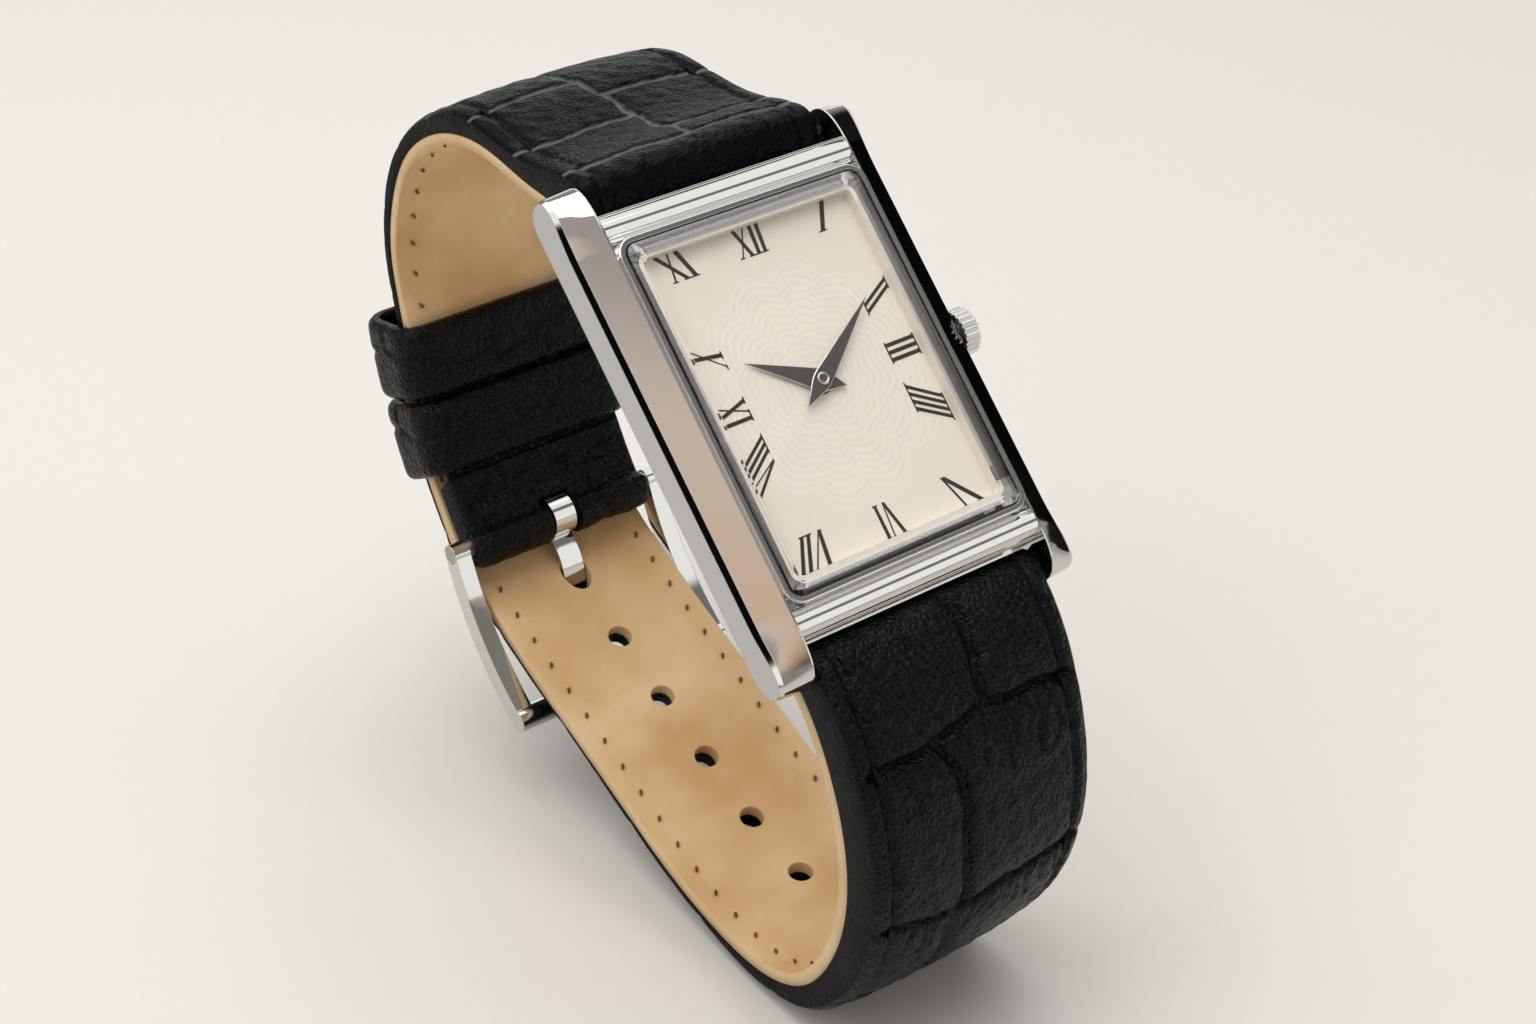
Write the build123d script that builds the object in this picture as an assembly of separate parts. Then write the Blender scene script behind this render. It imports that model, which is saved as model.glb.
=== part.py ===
from build123d import *
import math
import os

# Rectangular wrist watch with a quartz movement on a two-piece leather strap,
# closed at its buckle as it is worn. Everything is drawn in the dial's own
# coordinates (x to three o'clock, y to twelve, z out of the dial, zero on the
# dial's face), and then tilted about the middle of the wrist opening.

# Case, in millimetres
case_width = 25.0
rail_length = 36.0
lug_gap = 20.2
rail_top = 1.13
case_bottom = -3.1
body_length = 30.4
rail_slope_drop = 1.23
band_drop = 0.42
band_width = 0.3
bottom_chamfer = 0.3
end_droop_length = 5.0
end_heel_length = 2.6
end_tip_drop = 2.4
bar_land = 0.45
roll_radius = 1.05
reed_radius = 0.28
bead_width = 0.42
bead_top = 1.42
mirror_edge = 0.12

# Crystal, its seat and the dial
crystal_width = 19.1
crystal_length = 25.1
crystal_bottom = 0.85
crystal_top = 1.85
crystal_corner = 0.8
crystal_bevel_width = 0.7
crystal_bevel_drop = 0.35
gasket_wall = 0.15
seat_width = 0.75
flange_wall = 0.35
dial_thickness = 0.4
dial_margin = 0.05
dial_bore_radius = 0.95
dial_foot_radius = 0.3
dial_foot_length = 0.5

# Case back
back_thickness = 0.8
back_edge_radius = 0.45
back_lip_height = 0.5
back_lip_wall = 0.6
back_seal_height = 0.25
back_margin = 0.9
case_back_corner = 2.0

# Movement layers, measured down from the dial's back
works_depth = 0.8
plate_thickness = 0.55
train_depth = 1.0
bridge_thickness = 0.3
holder_wall = 1.1
movement_corner = 1.5
movement_play = 0.05
pillar_radius = 0.5

# Wheel train
tooth_module = 0.12
fine_module = 0.10
rotor_module = 0.08
centre_teeth = 30
cannon_teeth = 10
minute_teeth = 30
minute_pinion_teeth = 8
hour_teeth = 32
third_pinion_teeth = 10
third_teeth = 40
fifth_pinion_teeth = 8
fifth_teeth = 48
rotor_pinion_teeth = 8
third_angle = 60.0
fifth_angle = 110.0
rotor_angle = 150.0
minute_wheel_angle = -75.0
wheel_thickness = 0.14
pinion_length = 0.3
arbor_radius = 0.14
pivot_play = 0.03
wheel_air = 0.08
tooth_room = 2.0
tooth_root = 1.15
tooth_crest = 0.85
tooth_root_share = 0.27
tooth_crest_share = 0.10
rotor_radius = 0.62
rotor_length = 0.5
stator_air = 0.22

# Hands
hour_hand_length = 5.6
minute_hand_length = 7.4
hand_tail_share = 0.34
hour_hand_width = 1.72
minute_hand_width = 1.44
hand_shoulder_radius = 0.45
hand_thickness = 0.11
hour_hand_height = 0.2
minute_hand_height = 0.46
hand_cap_radius = 0.5
hand_cap_height = 0.12
hour_pipe_radius = 0.72
hour_pipe_bore = 0.5
cannon_radius = 0.42
hour_angle = 149.5
minute_angle = 34.8

# Battery, coil and circuit
battery_radius = 3.4
battery_height = 1.65
battery_play = 0.1
coil_radius = 0.45
coil_core_radius = 0.2
coil_length = 9.6
stator_thickness = 0.3
circuit_thickness = 0.25
quartz_radius = 0.42
quartz_length = 4.6

# Crown and stem
crown_radius = 1.7
crown_length = 1.2
crown_cap_height = 0.45
crown_flutes = 24
crown_flute_depth = 0.12
crown_cap_step = 0.45
crown_round_share = 0.8
crown_gap = 0.15
crown_pull = 0.8
stem_radius = 0.42
stem_height = -1.62
stem_inner_end = 4.6
stem_groove_radius = 0.26
stem_groove_width = 0.5
stem_groove_start = 5.4
tube_radius = 0.95
tube_bore = 0.75
tube_stand_out = 0.6
seal_radius = 0.7
lever_arm = 2.0
lever_thickness = 0.2
lever_width = 0.7
lever_pin_radius = 0.14
lever_post_radius = 0.3

# Spring bars at the lugs
lug_bar_y = 16.75
lug_bar_z = -1.75
spring_tube_radius = 0.75
spring_tube_bore = 0.52
spring_tube_length = 19.2
spring_tube_crimp = 0.15
tip_radius = 0.36
tip_head_radius = 0.47
tip_head_length = 1.2
tip_length = 2.9
tip_travel = 1.0
hole_play = 0.06

# Strap
wrist_radius = 38.6
wrist_centre_y = -0.5
wrist_centre_z = -3.4
strap_lug_width = 19.4
strap_tip_width = 15.8
taper_top = -3.0
taper_end_rise = 6.0
lining_thickness = 1.0
leather_thickness = 1.3
tail_gap = 0.3
bar_hole_play = 0.12
hole_count = 6
hole_radius = 0.95
hole_pitch = 6.15
pad_thickness = 2.3
pad_full_length = 14.0
pad_fade_length = 32.0
tail_start_angle = 12.5
tail_tip_angle = 37.0
tongue_hole_y = 0.0
tip_curve_radius = 6.0
tip_side_shave = 3.6
tip_side_share = 0.18

# Keepers
keeper_width = 6.0
keeper_wall = 1.1
keeper_play = 0.15
keeper_gap = 0.45
keeper_start_angle = 17.0
keeper_travel_angle = 4.0

# Buckle
buckle_bar_y = 5.0
buckle_bar_offset = 0.5
buckle_pin_radius = 0.75
buckle_leather = 1.0
buckle_pin_play = 0.1
buckle_leg_width = 1.35
buckle_leg_height = 1.7
buckle_side_gap = 0.5
buckle_end_y = -8.6
buckle_end_offset = 0.3
buckle_end_rod = 0.95
buckle_bow = 1.1
fold_end_y = 10.2
fold_rise = 0.25
slot_half_width = 1.3
slot_end_y = 7.6
tongue_width = 1.9
tongue_thickness = 0.75
tongue_play = 0.3

# Pose in which the watch is shown: how far the dial leans back, and the
# middle of the wrist opening, which is the part's origin
lean_angle = 44.0
opening_centre_y = -1.0
opening_centre_z = -21.0

# How far cutting shapes run past what they cut
overrun = 1.0
overrun_angle = 1.0

# Shapes of the strap's two lug ends, counted from the lug bar: first outwards,
# as a share of the way to the loop's side, then down, as a share of the way
# to the loop's lowest point
six_inner_shares = [(-0.049, 0.056), (0.133, 0.06), (0.409, 0.098),
                    (0.675, 0.171), (0.872, 0.27), (1, 0.401), (1.024, 0.51),
                    (0.941, 0.609), (0.724, 0.706), (0.34, 0.804),
                    (-0.12, 0.879)]
twelve_inner_shares = [(-0.049, 0.056), (0.054, 0.077), (0.212, 0.13),
                       (0.458, 0.213), (0.616, 0.302), (0.708, 0.406),
                       (0.728, 0.51), (0.675, 0.604)]
twelve_outer_shares = [(-0.049, -0.036), (0.054, -0.051), (0.162, -0.011),
                       (0.281, 0.062), (0.478, 0.14), (0.675, 0.213),
                       (0.832, 0.354), (0.872, 0.5), (0.813, 0.625)]
# How the long strap piece dips past the buckle: back from the pin as a share
# of the buckle's reach, then inwards from the tail's circle as a share of the
# strap's thickness
six_dip_shares = [(0.921, 1.397), (0.553, 0.906), (0.236, 0.327), (-0.015, -0.015)]
# The buckle tongue's line, as shares of the reach from pin to end bar and of
# the strap's thickness, counted from the pin
tongue_shares = [(0.0, -0.53), (0.13, -0.48), (0.25, -0.54), (0.33, -0.78),
                 (0.43, -1.26), (0.53, -1.51), (0.72, -1.58), (1.0, -1.475), (1.12, -1.42)]
hand_shoulder_share = -0.03
seal_start_share = 0.48
seal_length_share = 0.21
keeper_round_share = 0.7
loop_width_share = 0.8808
loop_depth_share = 1.114

# Worked out sizes
loop_half_width = wrist_radius * loop_width_share
loop_depth = wrist_radius * loop_depth_share
taper_bottom = wrist_centre_z - wrist_radius + taper_end_rise
half_case = case_width / 2
half_gap = lug_gap / 2
half_rail = rail_length / 2
rail_width = half_case - half_gap
half_body = body_length / 2
crystal_half_x = crystal_width / 2
crystal_half_y = crystal_length / 2
pocket_half_x = crystal_half_x + gasket_wall
pocket_half_y = crystal_half_y + gasket_wall
window_half_x = crystal_half_x - seat_width
window_half_y = crystal_half_y - seat_width
dial_back = -dial_thickness
works_floor = dial_back - works_depth
train_top = works_floor - plate_thickness
train_floor = train_top - train_depth
movement_bottom = train_floor - bridge_thickness
fifth_level = train_top - wheel_air
third_level = fifth_level - wheel_thickness - wheel_air
centre_level = train_floor + wheel_air + wheel_thickness
strap_thickness = lining_thickness + leather_thickness
buckle_outer_radius = wrist_radius + strap_thickness
tail_radius = buckle_outer_radius + tail_gap
tail_outer_radius = tail_radius + strap_thickness
buckle_bar_radius = wrist_radius + buckle_bar_offset
buckle_end_radius = tail_radius + buckle_end_offset
strap_half_tip = strap_tip_width / 2
strap_half_lug = strap_lug_width / 2
movement_half_x = pocket_half_x - gasket_wall
movement_half_y = pocket_half_y - gasket_wall
frame_half_x = movement_half_x - holder_wall
frame_half_y = movement_half_y - holder_wall
lever_swing = math.degrees(math.asin(crown_pull / 2 / lever_arm))


def posed(shape):
    """Tilts a shape from the dial's coordinates into the part's own frame."""
    centred = Pos(0, -opening_centre_y, -opening_centre_z) * shape
    return Rot(lean_angle, 0, 0) * centred


def write(shape, node):
    """Writes one sub-part."""
    export_step(posed(shape), "parts/" + node + ".step")


def slab(half_x, half_y, low, high, corner=0):
    """A flat block with upright corners rounded by the radius given."""
    if corner:
        outline = RectangleRounded(2 * half_x, 2 * half_y, corner)
    else:
        outline = Rectangle(2 * half_x, 2 * half_y)
    return Pos(0, 0, low) * extrude(outline, high - low)


def post(x, y, low, high, radius):
    """An upright round post."""
    return Pos(x, y, (low + high) / 2) * Cylinder(radius, high - low)


def rod_x(x_low, x_high, y, z, radius):
    """A round rod along x."""
    place = Pos((x_low + x_high) / 2, y, z) * Rot(0, 90, 0)
    return place * Cylinder(radius, x_high - x_low)


def block(x_low, x_high, y_low, y_high, z_low, z_high):
    """A box between six limits."""
    size = Box(x_high - x_low, y_high - y_low, z_high - z_low)
    middle = Pos((x_low + x_high) / 2, (y_low + y_high) / 2, (z_low + z_high) / 2)
    return middle * size


# Case

def rail_outline(x, top, inset):
    """The rail cut across at one x: a long boat shape with drooping ends."""
    low = case_bottom + inset
    droop_start = half_rail - end_droop_length
    heel_start = half_rail - end_heel_length
    tip_y = half_rail - inset
    tip_z = rail_top - end_tip_drop
    edges = [Line((x, -droop_start, top), (x, droop_start, top)),
             Spline((x, droop_start, top), (x, tip_y, tip_z), tangents=((0, 1, 0), (0, 0, -1))),
             Spline((x, tip_y, tip_z), (x, heel_start, low), tangents=((0, 0, -1), (0, -1, 0))),
             Line((x, heel_start, low), (x, -heel_start, low)),
             Spline((x, -heel_start, low), (x, -tip_y, tip_z), tangents=((0, -1, 0), (0, 0, 1))),
             Spline((x, -tip_y, tip_z), (x, -droop_start, top), tangents=((0, 0, 1), (0, 1, 0)))]
    return make_face(Wire(edges))


def rail():
    """One side rail: a sloping front, a narrow band and the flat side."""
    slope_end = half_case - band_width
    shoulder_top = rail_top - rail_slope_drop
    land = rail_outline(half_gap, rail_top, 0)
    crest = rail_outline(half_gap + mirror_edge, rail_top, 0)
    shoulder = rail_outline(slope_end, shoulder_top, bottom_chamfer / 2)
    side = rail_outline(half_case, shoulder_top - band_drop, bottom_chamfer)
    return loft([land, crest, shoulder, side], ruled=True)


def end_bar(side):
    """The polished reeded bar between the rails at one end of the crystal."""
    inner_y = pocket_half_y + bead_width
    base_z = rail_top - roll_radius / 2
    roll_y = half_body - roll_radius
    roll = rod_x(-half_gap, half_gap, side * roll_y, base_z - roll_radius / 2, roll_radius)
    reed_y = inner_y + reed_radius
    reed = rod_x(-half_gap, half_gap, side * reed_y, base_z, reed_radius)
    return roll + reed


def case():
    """The one-piece case: two rails, the body between them and its pocket."""
    right = rail()
    left = mirror(right, Plane.YZ)
    base_z = rail_top - roll_radius / 2
    middle = slab(half_gap + bar_land, half_body, case_bottom, base_z)
    shape = middle + right + left + end_bar(1) + end_bar(-1)
    bead_half_x = pocket_half_x + bead_width
    bead_half_y = pocket_half_y + bead_width
    bead = slab(bead_half_x, bead_half_y, case_bottom + overrun, bead_top,
                crystal_corner + gasket_wall + bead_width)
    bead = fillet(bead.faces().sort_by(Axis.Z)[-1].edges(), mirror_edge)
    shape = shape + bead
    shape = shape - slab(pocket_half_x, pocket_half_y, crystal_bottom,
                         bead_top + overrun, crystal_corner + gasket_wall)
    shape = shape - slab(window_half_x, window_half_y, 0, bead_top, crystal_corner)
    shape = shape - slab(movement_half_x + movement_play, movement_half_y + movement_play,
                         case_bottom - overrun, 0, movement_corner)
    step_x = movement_half_x + movement_play + back_lip_wall
    step_y = movement_half_y + movement_play + back_lip_wall
    shape = shape - slab(step_x, step_y, case_bottom - overrun,
                         case_bottom + back_lip_height + back_seal_height,
                         movement_corner + back_lip_wall)
    shape = shape - rod_x(tube_inner_end(), half_case + overrun, 0, stem_height, tube_radius)
    shape = shape - rod_x(movement_half_x, half_case, 0, stem_height, stem_radius + battery_play)
    for side in (1, -1):
        for end in (1, -1):
            hole_end = side * (half_gap + tip_travel + hole_play)
            hole_start = side * (half_gap - overrun)
            shape = shape - rod_x(min(hole_start, hole_end), max(hole_start, hole_end),
                                  end * lug_bar_y, lug_bar_z, tip_radius + hole_play)
    return shape


def tube_inner_end():
    """Where the crown's tube starts, clear of the step for the back's lip."""
    return movement_half_x + movement_play + back_lip_wall + bottom_chamfer


def crown_tube():
    """The tube pressed into the case, in which the crown's seal runs."""
    outer_end = half_case + tube_stand_out
    inner_end = tube_inner_end()
    sleeve = rod_x(inner_end, outer_end, 0, stem_height, tube_radius)
    return sleeve - rod_x(inner_end - overrun, outer_end + overrun, 0, stem_height, tube_bore)


def case_back():
    """The snap-on back with its rounded edge and the lip inside the case."""
    half_x = half_gap + rail_width - back_margin
    half_y = half_body - bottom_chamfer
    low = case_bottom - back_thickness
    plate = slab(half_x, half_y, low, case_bottom, case_back_corner)
    plate = fillet(plate.faces().sort_by(Axis.Z)[0].edges(), back_edge_radius)
    return plate + lip_ring(case_bottom - back_thickness / 2, case_bottom + back_lip_height)


def lip_ring(low, high):
    """A ring round the movement, in the step inside the case's back edge."""
    inner_x = movement_half_x + movement_play
    inner_y = movement_half_y + movement_play
    ring = slab(inner_x + back_lip_wall, inner_y + back_lip_wall, low, high,
                movement_corner + back_lip_wall)
    return ring - slab(inner_x, inner_y, case_bottom, high + overrun, movement_corner)


def back_seal():
    """The rubber ring above the lip of the case back."""
    low = case_bottom + back_lip_height
    return lip_ring(low, low + back_seal_height)


# Crystal and dial

def crystal():
    """The flat crystal with a bevelled edge all round."""
    plate = slab(crystal_half_x, crystal_half_y, crystal_bottom, crystal_top, crystal_corner)
    top = plate.faces().sort_by(Axis.Z)[-1]
    return chamfer(top.edges(), crystal_bevel_width, crystal_bevel_drop, reference=top)


def crystal_gasket():
    """The thin ring that holds the crystal in the case."""
    high = crystal_top - crystal_bevel_drop - gasket_wall
    ring = slab(pocket_half_x, pocket_half_y, crystal_bottom, high, crystal_corner + gasket_wall)
    return ring - slab(crystal_half_x, crystal_half_y, crystal_bottom - overrun,
                       high + overrun, crystal_corner)


def foot_places():
    """Where the dial's two feet stand, in opposite corners."""
    x = frame_half_x - dial_foot_radius * 4
    y = frame_half_y - dial_foot_radius * 4
    return [(x, y), (-x, -y)]


def dial():
    """The dial plate with its centre hole and two feet."""
    plate = slab(movement_half_x - dial_margin, movement_half_y - dial_margin,
                 dial_back, 0, movement_corner)
    for x, y in foot_places():
        plate = plate + post(x, y, dial_back - dial_foot_length, dial_back, dial_foot_radius)
    return plate - post(0, 0, dial_back - overrun, overrun, dial_bore_radius)


def dial_flange():
    """The ring between dial and crystal that lines the window."""
    ring = slab(window_half_x, window_half_y, 0, crystal_bottom, crystal_corner)
    return ring - slab(window_half_x - flange_wall, window_half_y - flange_wall,
                       -overrun, crystal_bottom + overrun, crystal_corner / 2)


# Movement

def movement_holder():
    """The plastic frame that centres the movement in the case."""
    ring = slab(movement_half_x, movement_half_y, movement_bottom, dial_back, movement_corner)
    ring = ring - slab(frame_half_x, frame_half_y, movement_bottom - overrun,
                       dial_back + overrun, movement_corner - holder_wall / 2)
    return ring - rod_x(frame_half_x - overrun, movement_half_x + overrun, 0,
                        stem_height, stem_radius + battery_play)


def train_places():
    """Where the wheel axes stand, from the dial's centre outwards."""
    third_distance = tooth_module * (centre_teeth + third_pinion_teeth) / 2
    fifth_distance = fine_module * (third_teeth + fifth_pinion_teeth) / 2
    rotor_distance = rotor_module * (fifth_teeth + rotor_pinion_teeth) / 2
    minute_distance = tooth_module * (cannon_teeth + minute_teeth) / 2
    third = along((0, 0), third_distance, third_angle)
    fifth = along(third, fifth_distance, fifth_angle)
    rotor = along(fifth, rotor_distance, rotor_angle)
    minute = along((0, 0), minute_distance, minute_wheel_angle)
    return third, fifth, rotor, minute


def along(start, distance, angle):
    """The point at a distance and angle from another."""
    x = start[0] + distance * math.cos(math.radians(angle))
    y = start[1] + distance * math.sin(math.radians(angle))
    return x, y


def coil_place():
    """The middle of the coil: across the movement above the stator."""
    return 0.0, frame_half_y - 3 * coil_radius


def battery_place():
    """The middle of the battery, in the corner beside six o'clock."""
    inset = battery_radius + 2 * battery_play
    return -(frame_half_x - inset), -(frame_half_y - inset)


def main_plate():
    """The plate that carries the wheels, the battery and the stem."""
    third, fifth, rotor, minute = train_places()
    half_x = frame_half_x - movement_play
    half_y = frame_half_y - movement_play
    plate = slab(half_x, half_y, train_top, dial_back - movement_play,
                 movement_corner - holder_wall / 2)
    recess_radius = tooth_module * (minute_teeth / 2 + tooth_room)
    hour_radius = hour_module() * (hour_teeth / 2 + tooth_room)
    plate = plate - post(0, 0, works_floor, 0, hour_radius)
    plate = plate - post(minute[0], minute[1], works_floor, 0, recess_radius)
    bx, by = battery_place()
    plate = plate - post(bx, by, train_top - overrun, 0, battery_radius + battery_play)
    plate = plate - rod_x(stem_inner_end - overrun, half_x + overrun, 0, stem_height,
                          stem_radius + battery_play)
    plate = plate - post(0, 0, train_top - overrun, 0, cannon_radius + pivot_play)
    for x, y in foot_places():
        plate = plate - post(x, y, works_floor, 0, dial_foot_radius + pivot_play)
    for x, y in (third, fifth, rotor):
        plate = plate - post(x, y, train_top - overrun, train_top + wheel_thickness,
                             arbor_radius + pivot_play)
    for x, y in pillar_places():
        plate = plate + post(x, y, train_floor, train_top, pillar_radius)
    plate = plate + post(minute[0], minute[1], works_floor - wheel_air,
                         works_floor + works_depth / 2, arbor_radius)
    lever_x, lever_y = lever_pivot()
    return plate + post(lever_x, lever_y, train_floor, train_top, lever_post_radius)


def pillar_places():
    """The four pillars between the main plate and the train bridge."""
    edge = frame_half_x - 2 * pillar_radius
    return [(-edge, 1.6 * pillar_radius), (-edge, frame_half_y / 2),
            (edge, frame_half_y / 2), (-2 * pillar_radius, -frame_half_y / 4)]


def train_bridge():
    """The bridge that holds the lower ends of the wheel arbors."""
    third, fifth, rotor, minute = train_places()
    half_x = frame_half_x - movement_play
    low_y = -frame_half_y / 4 - 2 * pillar_radius
    high_y = frame_half_y - movement_play
    outline = slab(half_x, high_y, movement_bottom, train_floor, movement_corner - holder_wall / 2)
    bridge = outline & block(-half_x, half_x, low_y, high_y, movement_bottom, train_floor)
    bx, by = battery_place()
    bridge = bridge - post(bx, by, movement_bottom - overrun, train_floor + overrun,
                           battery_radius + battery_play)
    for x, y in ((0, 0), third, fifth, rotor):
        bridge = bridge - post(x, y, movement_bottom + bridge_thickness / 2,
                               train_floor + overrun, arbor_radius + pivot_play)
    return bridge


def gear(teeth, module, low, high, phase, bore=0):
    """A spur wheel whose first tooth points along the phase angle."""
    root_radius = module * (teeth / 2 - tooth_root)
    crest_radius = module * (teeth / 2 + tooth_crest)
    pitch = 360 / teeth
    corners = []
    for index in range(teeth):
        middle = phase + index * pitch
        for radius, turn in ((root_radius, -tooth_root_share), (crest_radius, -tooth_crest_share),
                             (crest_radius, tooth_crest_share), (root_radius, tooth_root_share)):
            corners.append(along((0, 0), radius, middle + turn * pitch))
    outline = make_face(Polyline(corners, close=True))
    wheel = Pos(0, 0, low) * extrude(outline, high - low)
    if bore:
        wheel = wheel - post(0, 0, low - overrun, high + overrun, bore)
    return wheel


def mesh_phase(line_angle, teeth_a, phase_a, teeth_b):
    """The phase of wheel b that puts it in mesh with wheel a along a line."""
    share_a = (line_angle - phase_a) * teeth_a / 360
    return line_angle + 180 - (0.5 - share_a) * 360 / teeth_b


def centre_wheel():
    """The wheel that carries the cannon pinion through the plate."""
    wheel = gear(centre_teeth, tooth_module, centre_level - wheel_thickness, centre_level, 0)
    arbor = post(0, 0, centre_level, works_floor - works_depth / 4, cannon_radius - pivot_play)
    pivot = post(0, 0, train_floor - bridge_thickness / 3, centre_level, arbor_radius)
    return wheel + arbor + pivot


def cannon_pinion():
    """The pinion of the minute hand, with its long pipe."""
    low = works_floor - works_depth / 4
    pinion = gear(cannon_teeth, tooth_module, works_floor + wheel_air, works_floor + pinion_length, 0)
    pipe = post(0, 0, low, minute_hand_height, cannon_radius)
    return pinion + pipe


def minute_wheel():
    """The wheel and pinion between cannon pinion and hour wheel."""
    place = train_places()[3]
    phase = mesh_phase(minute_wheel_angle, cannon_teeth, 0, minute_teeth)
    low = works_floor + wheel_air
    wheel = gear(minute_teeth, tooth_module, low, low + wheel_thickness, phase, arbor_radius + pivot_play)
    pinion_low = low + wheel_thickness
    pinion = gear(minute_pinion_teeth, hour_module(), pinion_low, pinion_low + pinion_length,
                  phase, arbor_radius + pivot_play)
    return Pos(place[0], place[1], 0) * (wheel + pinion)


def hour_module():
    """The module that lets hour wheel and its pinion share the same centres."""
    return tooth_module * (cannon_teeth + minute_teeth) / (hour_teeth + minute_pinion_teeth)


def hour_wheel():
    """The hour wheel and its pipe, which turns on the cannon pinion."""
    pinion_phase = mesh_phase(minute_wheel_angle, cannon_teeth, 0, minute_teeth)
    phase = mesh_phase(minute_wheel_angle + 180, minute_pinion_teeth, pinion_phase, hour_teeth)
    low = works_floor + wheel_air + wheel_thickness + wheel_air
    wheel = gear(hour_teeth, hour_module(), low, low + wheel_thickness, phase)
    pipe = post(0, 0, low, hour_hand_height, hour_pipe_radius)
    bore = post(0, 0, low - overrun, hour_hand_height + overrun, hour_pipe_bore)
    return wheel + pipe - bore


def third_wheel():
    """The third wheel with its pinion and arbor."""
    place = train_places()[0]
    phase = mesh_phase(third_angle, centre_teeth, 0, third_pinion_teeth)
    pinion = gear(third_pinion_teeth, tooth_module, train_floor + wheel_air / 2,
                  centre_level + wheel_air, phase)
    wheel = gear(third_teeth, fine_module, third_level - wheel_thickness, third_level, phase)
    arbor = post(0, 0, train_floor - bridge_thickness / 3, train_top + wheel_thickness / 2, arbor_radius)
    return Pos(place[0], place[1], 0) * (wheel + pinion + arbor)


def fifth_wheel():
    """The fifth wheel with its pinion and arbor."""
    place = train_places()[1]
    third_phase = mesh_phase(third_angle, centre_teeth, 0, third_pinion_teeth)
    phase = mesh_phase(fifth_angle, third_teeth, third_phase, fifth_pinion_teeth)
    pinion = gear(fifth_pinion_teeth, fine_module, third_level - pinion_length,
                  third_level + wheel_air / 2, phase)
    wheel = gear(fifth_teeth, rotor_module, fifth_level - wheel_thickness, fifth_level, phase)
    arbor = post(0, 0, train_floor - bridge_thickness / 3, train_top + wheel_thickness / 2, arbor_radius)
    return Pos(place[0], place[1], 0) * (wheel + pinion + arbor)


def rotor():
    """The stepping motor's magnet with its pinion."""
    place = train_places()[2]
    third_phase = mesh_phase(third_angle, centre_teeth, 0, third_pinion_teeth)
    fifth_phase = mesh_phase(fifth_angle, third_teeth, third_phase, fifth_pinion_teeth)
    phase = mesh_phase(rotor_angle, fifth_teeth, fifth_phase, rotor_pinion_teeth)
    pinion = gear(rotor_pinion_teeth, rotor_module, third_level + wheel_air / 2, fifth_level, phase)
    magnet_high = third_level - wheel_air
    magnet = post(0, 0, magnet_high - rotor_length, magnet_high, rotor_radius)
    arbor = post(0, 0, train_floor - bridge_thickness / 3, train_top + wheel_thickness / 2, arbor_radius)
    return Pos(place[0], place[1], 0) * (pinion + magnet + arbor)


def stator():
    """The flat steel stator round the rotor, with arms up to the coil."""
    third, fifth, rotor_place, minute = train_places()
    coil_x, coil_y = coil_place()
    high = train_floor + stator_thickness + wheel_air
    low = train_floor + wheel_air
    half_width = rotor_radius + stator_air + coil_core_radius
    left = -coil_length / 2 - coil_radius * 2
    right = coil_length / 2 + coil_radius * 2
    plate = block(left, right, rotor_place[1] - half_width, rotor_place[1] + half_width, low, high)
    for x_low, x_high in ((left, left + coil_radius * 2), (right - coil_radius * 2, right)):
        plate = plate + block(x_low, x_high, rotor_place[1], coil_y + coil_radius, low, high)
    plate = plate - post(rotor_place[0], rotor_place[1], low - overrun, high + overrun,
                         rotor_radius + stator_air)
    return plate - post(fifth[0], fifth[1], low - overrun, high + overrun,
                        arbor_radius + stator_air)


def coil():
    """The coil's round winding, between the plates."""
    x, y = coil_place()
    z = (train_floor + train_top) / 2
    half = coil_length / 2
    return rod_x(x - half, x + half, y, z, coil_radius)


def battery():
    """The button cell with its smaller negative cap."""
    x, y = battery_place()
    low = movement_bottom
    cap_height = battery_height / 6
    can = post(x, y, low, low + battery_height - cap_height, battery_radius)
    can = fillet(can.faces().sort_by(Axis.Z)[0].edges(), cap_height)
    return can + post(x, y, low + battery_height - cap_height, low + battery_height,
                      battery_radius - cap_height * 2)


def circuit_block():
    """The circuit board beside the battery, with the chip under resin."""
    low_x = battery_place()[0] + battery_radius + 3 * battery_play
    high_x = frame_half_x - 2 * battery_play
    low_y = -frame_half_y + 2 * battery_play
    high_y = -frame_half_y / 4 - 3 * pillar_radius
    high = train_top
    board = block(low_x, high_x, low_y, high_y, high - circuit_thickness, high)
    chip_x = (2 * low_x + high_x) / 3
    chip_y = (low_y + high_y) / 2
    chip_top = high - circuit_thickness
    return board + post(chip_x, chip_y, chip_top - circuit_thickness, chip_top, pillar_radius * 2)


def quartz_can():
    """The crystal oscillator's metal can, lying on the board."""
    x = frame_half_x - 4 * quartz_radius
    y = -frame_half_y / 2 - quartz_length / 2
    z = train_top - circuit_thickness - quartz_radius
    return Pos(x, y, z) * Rot(90, 0, 0) * Cylinder(quartz_radius, quartz_length)


# Crown, stem and setting lever

def crown_inner():
    """Where the crown starts, outside its tube."""
    return half_case + crown_gap


def crown():
    """The fluted crown with its stepped, domed cap and the hollow behind."""
    start = crown_inner()
    end = start + crown_length
    body = rod_x(start, end, 0, stem_height, crown_radius)
    for index in range(crown_flutes):
        turn = index * 360 / crown_flutes
        y, z = along((0, stem_height), crown_radius, turn)
        body = body - rod_x(start - overrun, end + overrun, y, z, crown_flute_depth)
    dome_base = crown_radius - crown_cap_step
    dome = rod_x(end, end + crown_cap_height, 0, stem_height, dome_base)
    dome = fillet(dome.faces().sort_by(Axis.X)[-1].edges(), crown_cap_height * crown_round_share)
    hollow = rod_x(start - overrun, end - crown_cap_height, 0, stem_height, tube_radius + crown_flute_depth)
    return body + dome - hollow


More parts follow.
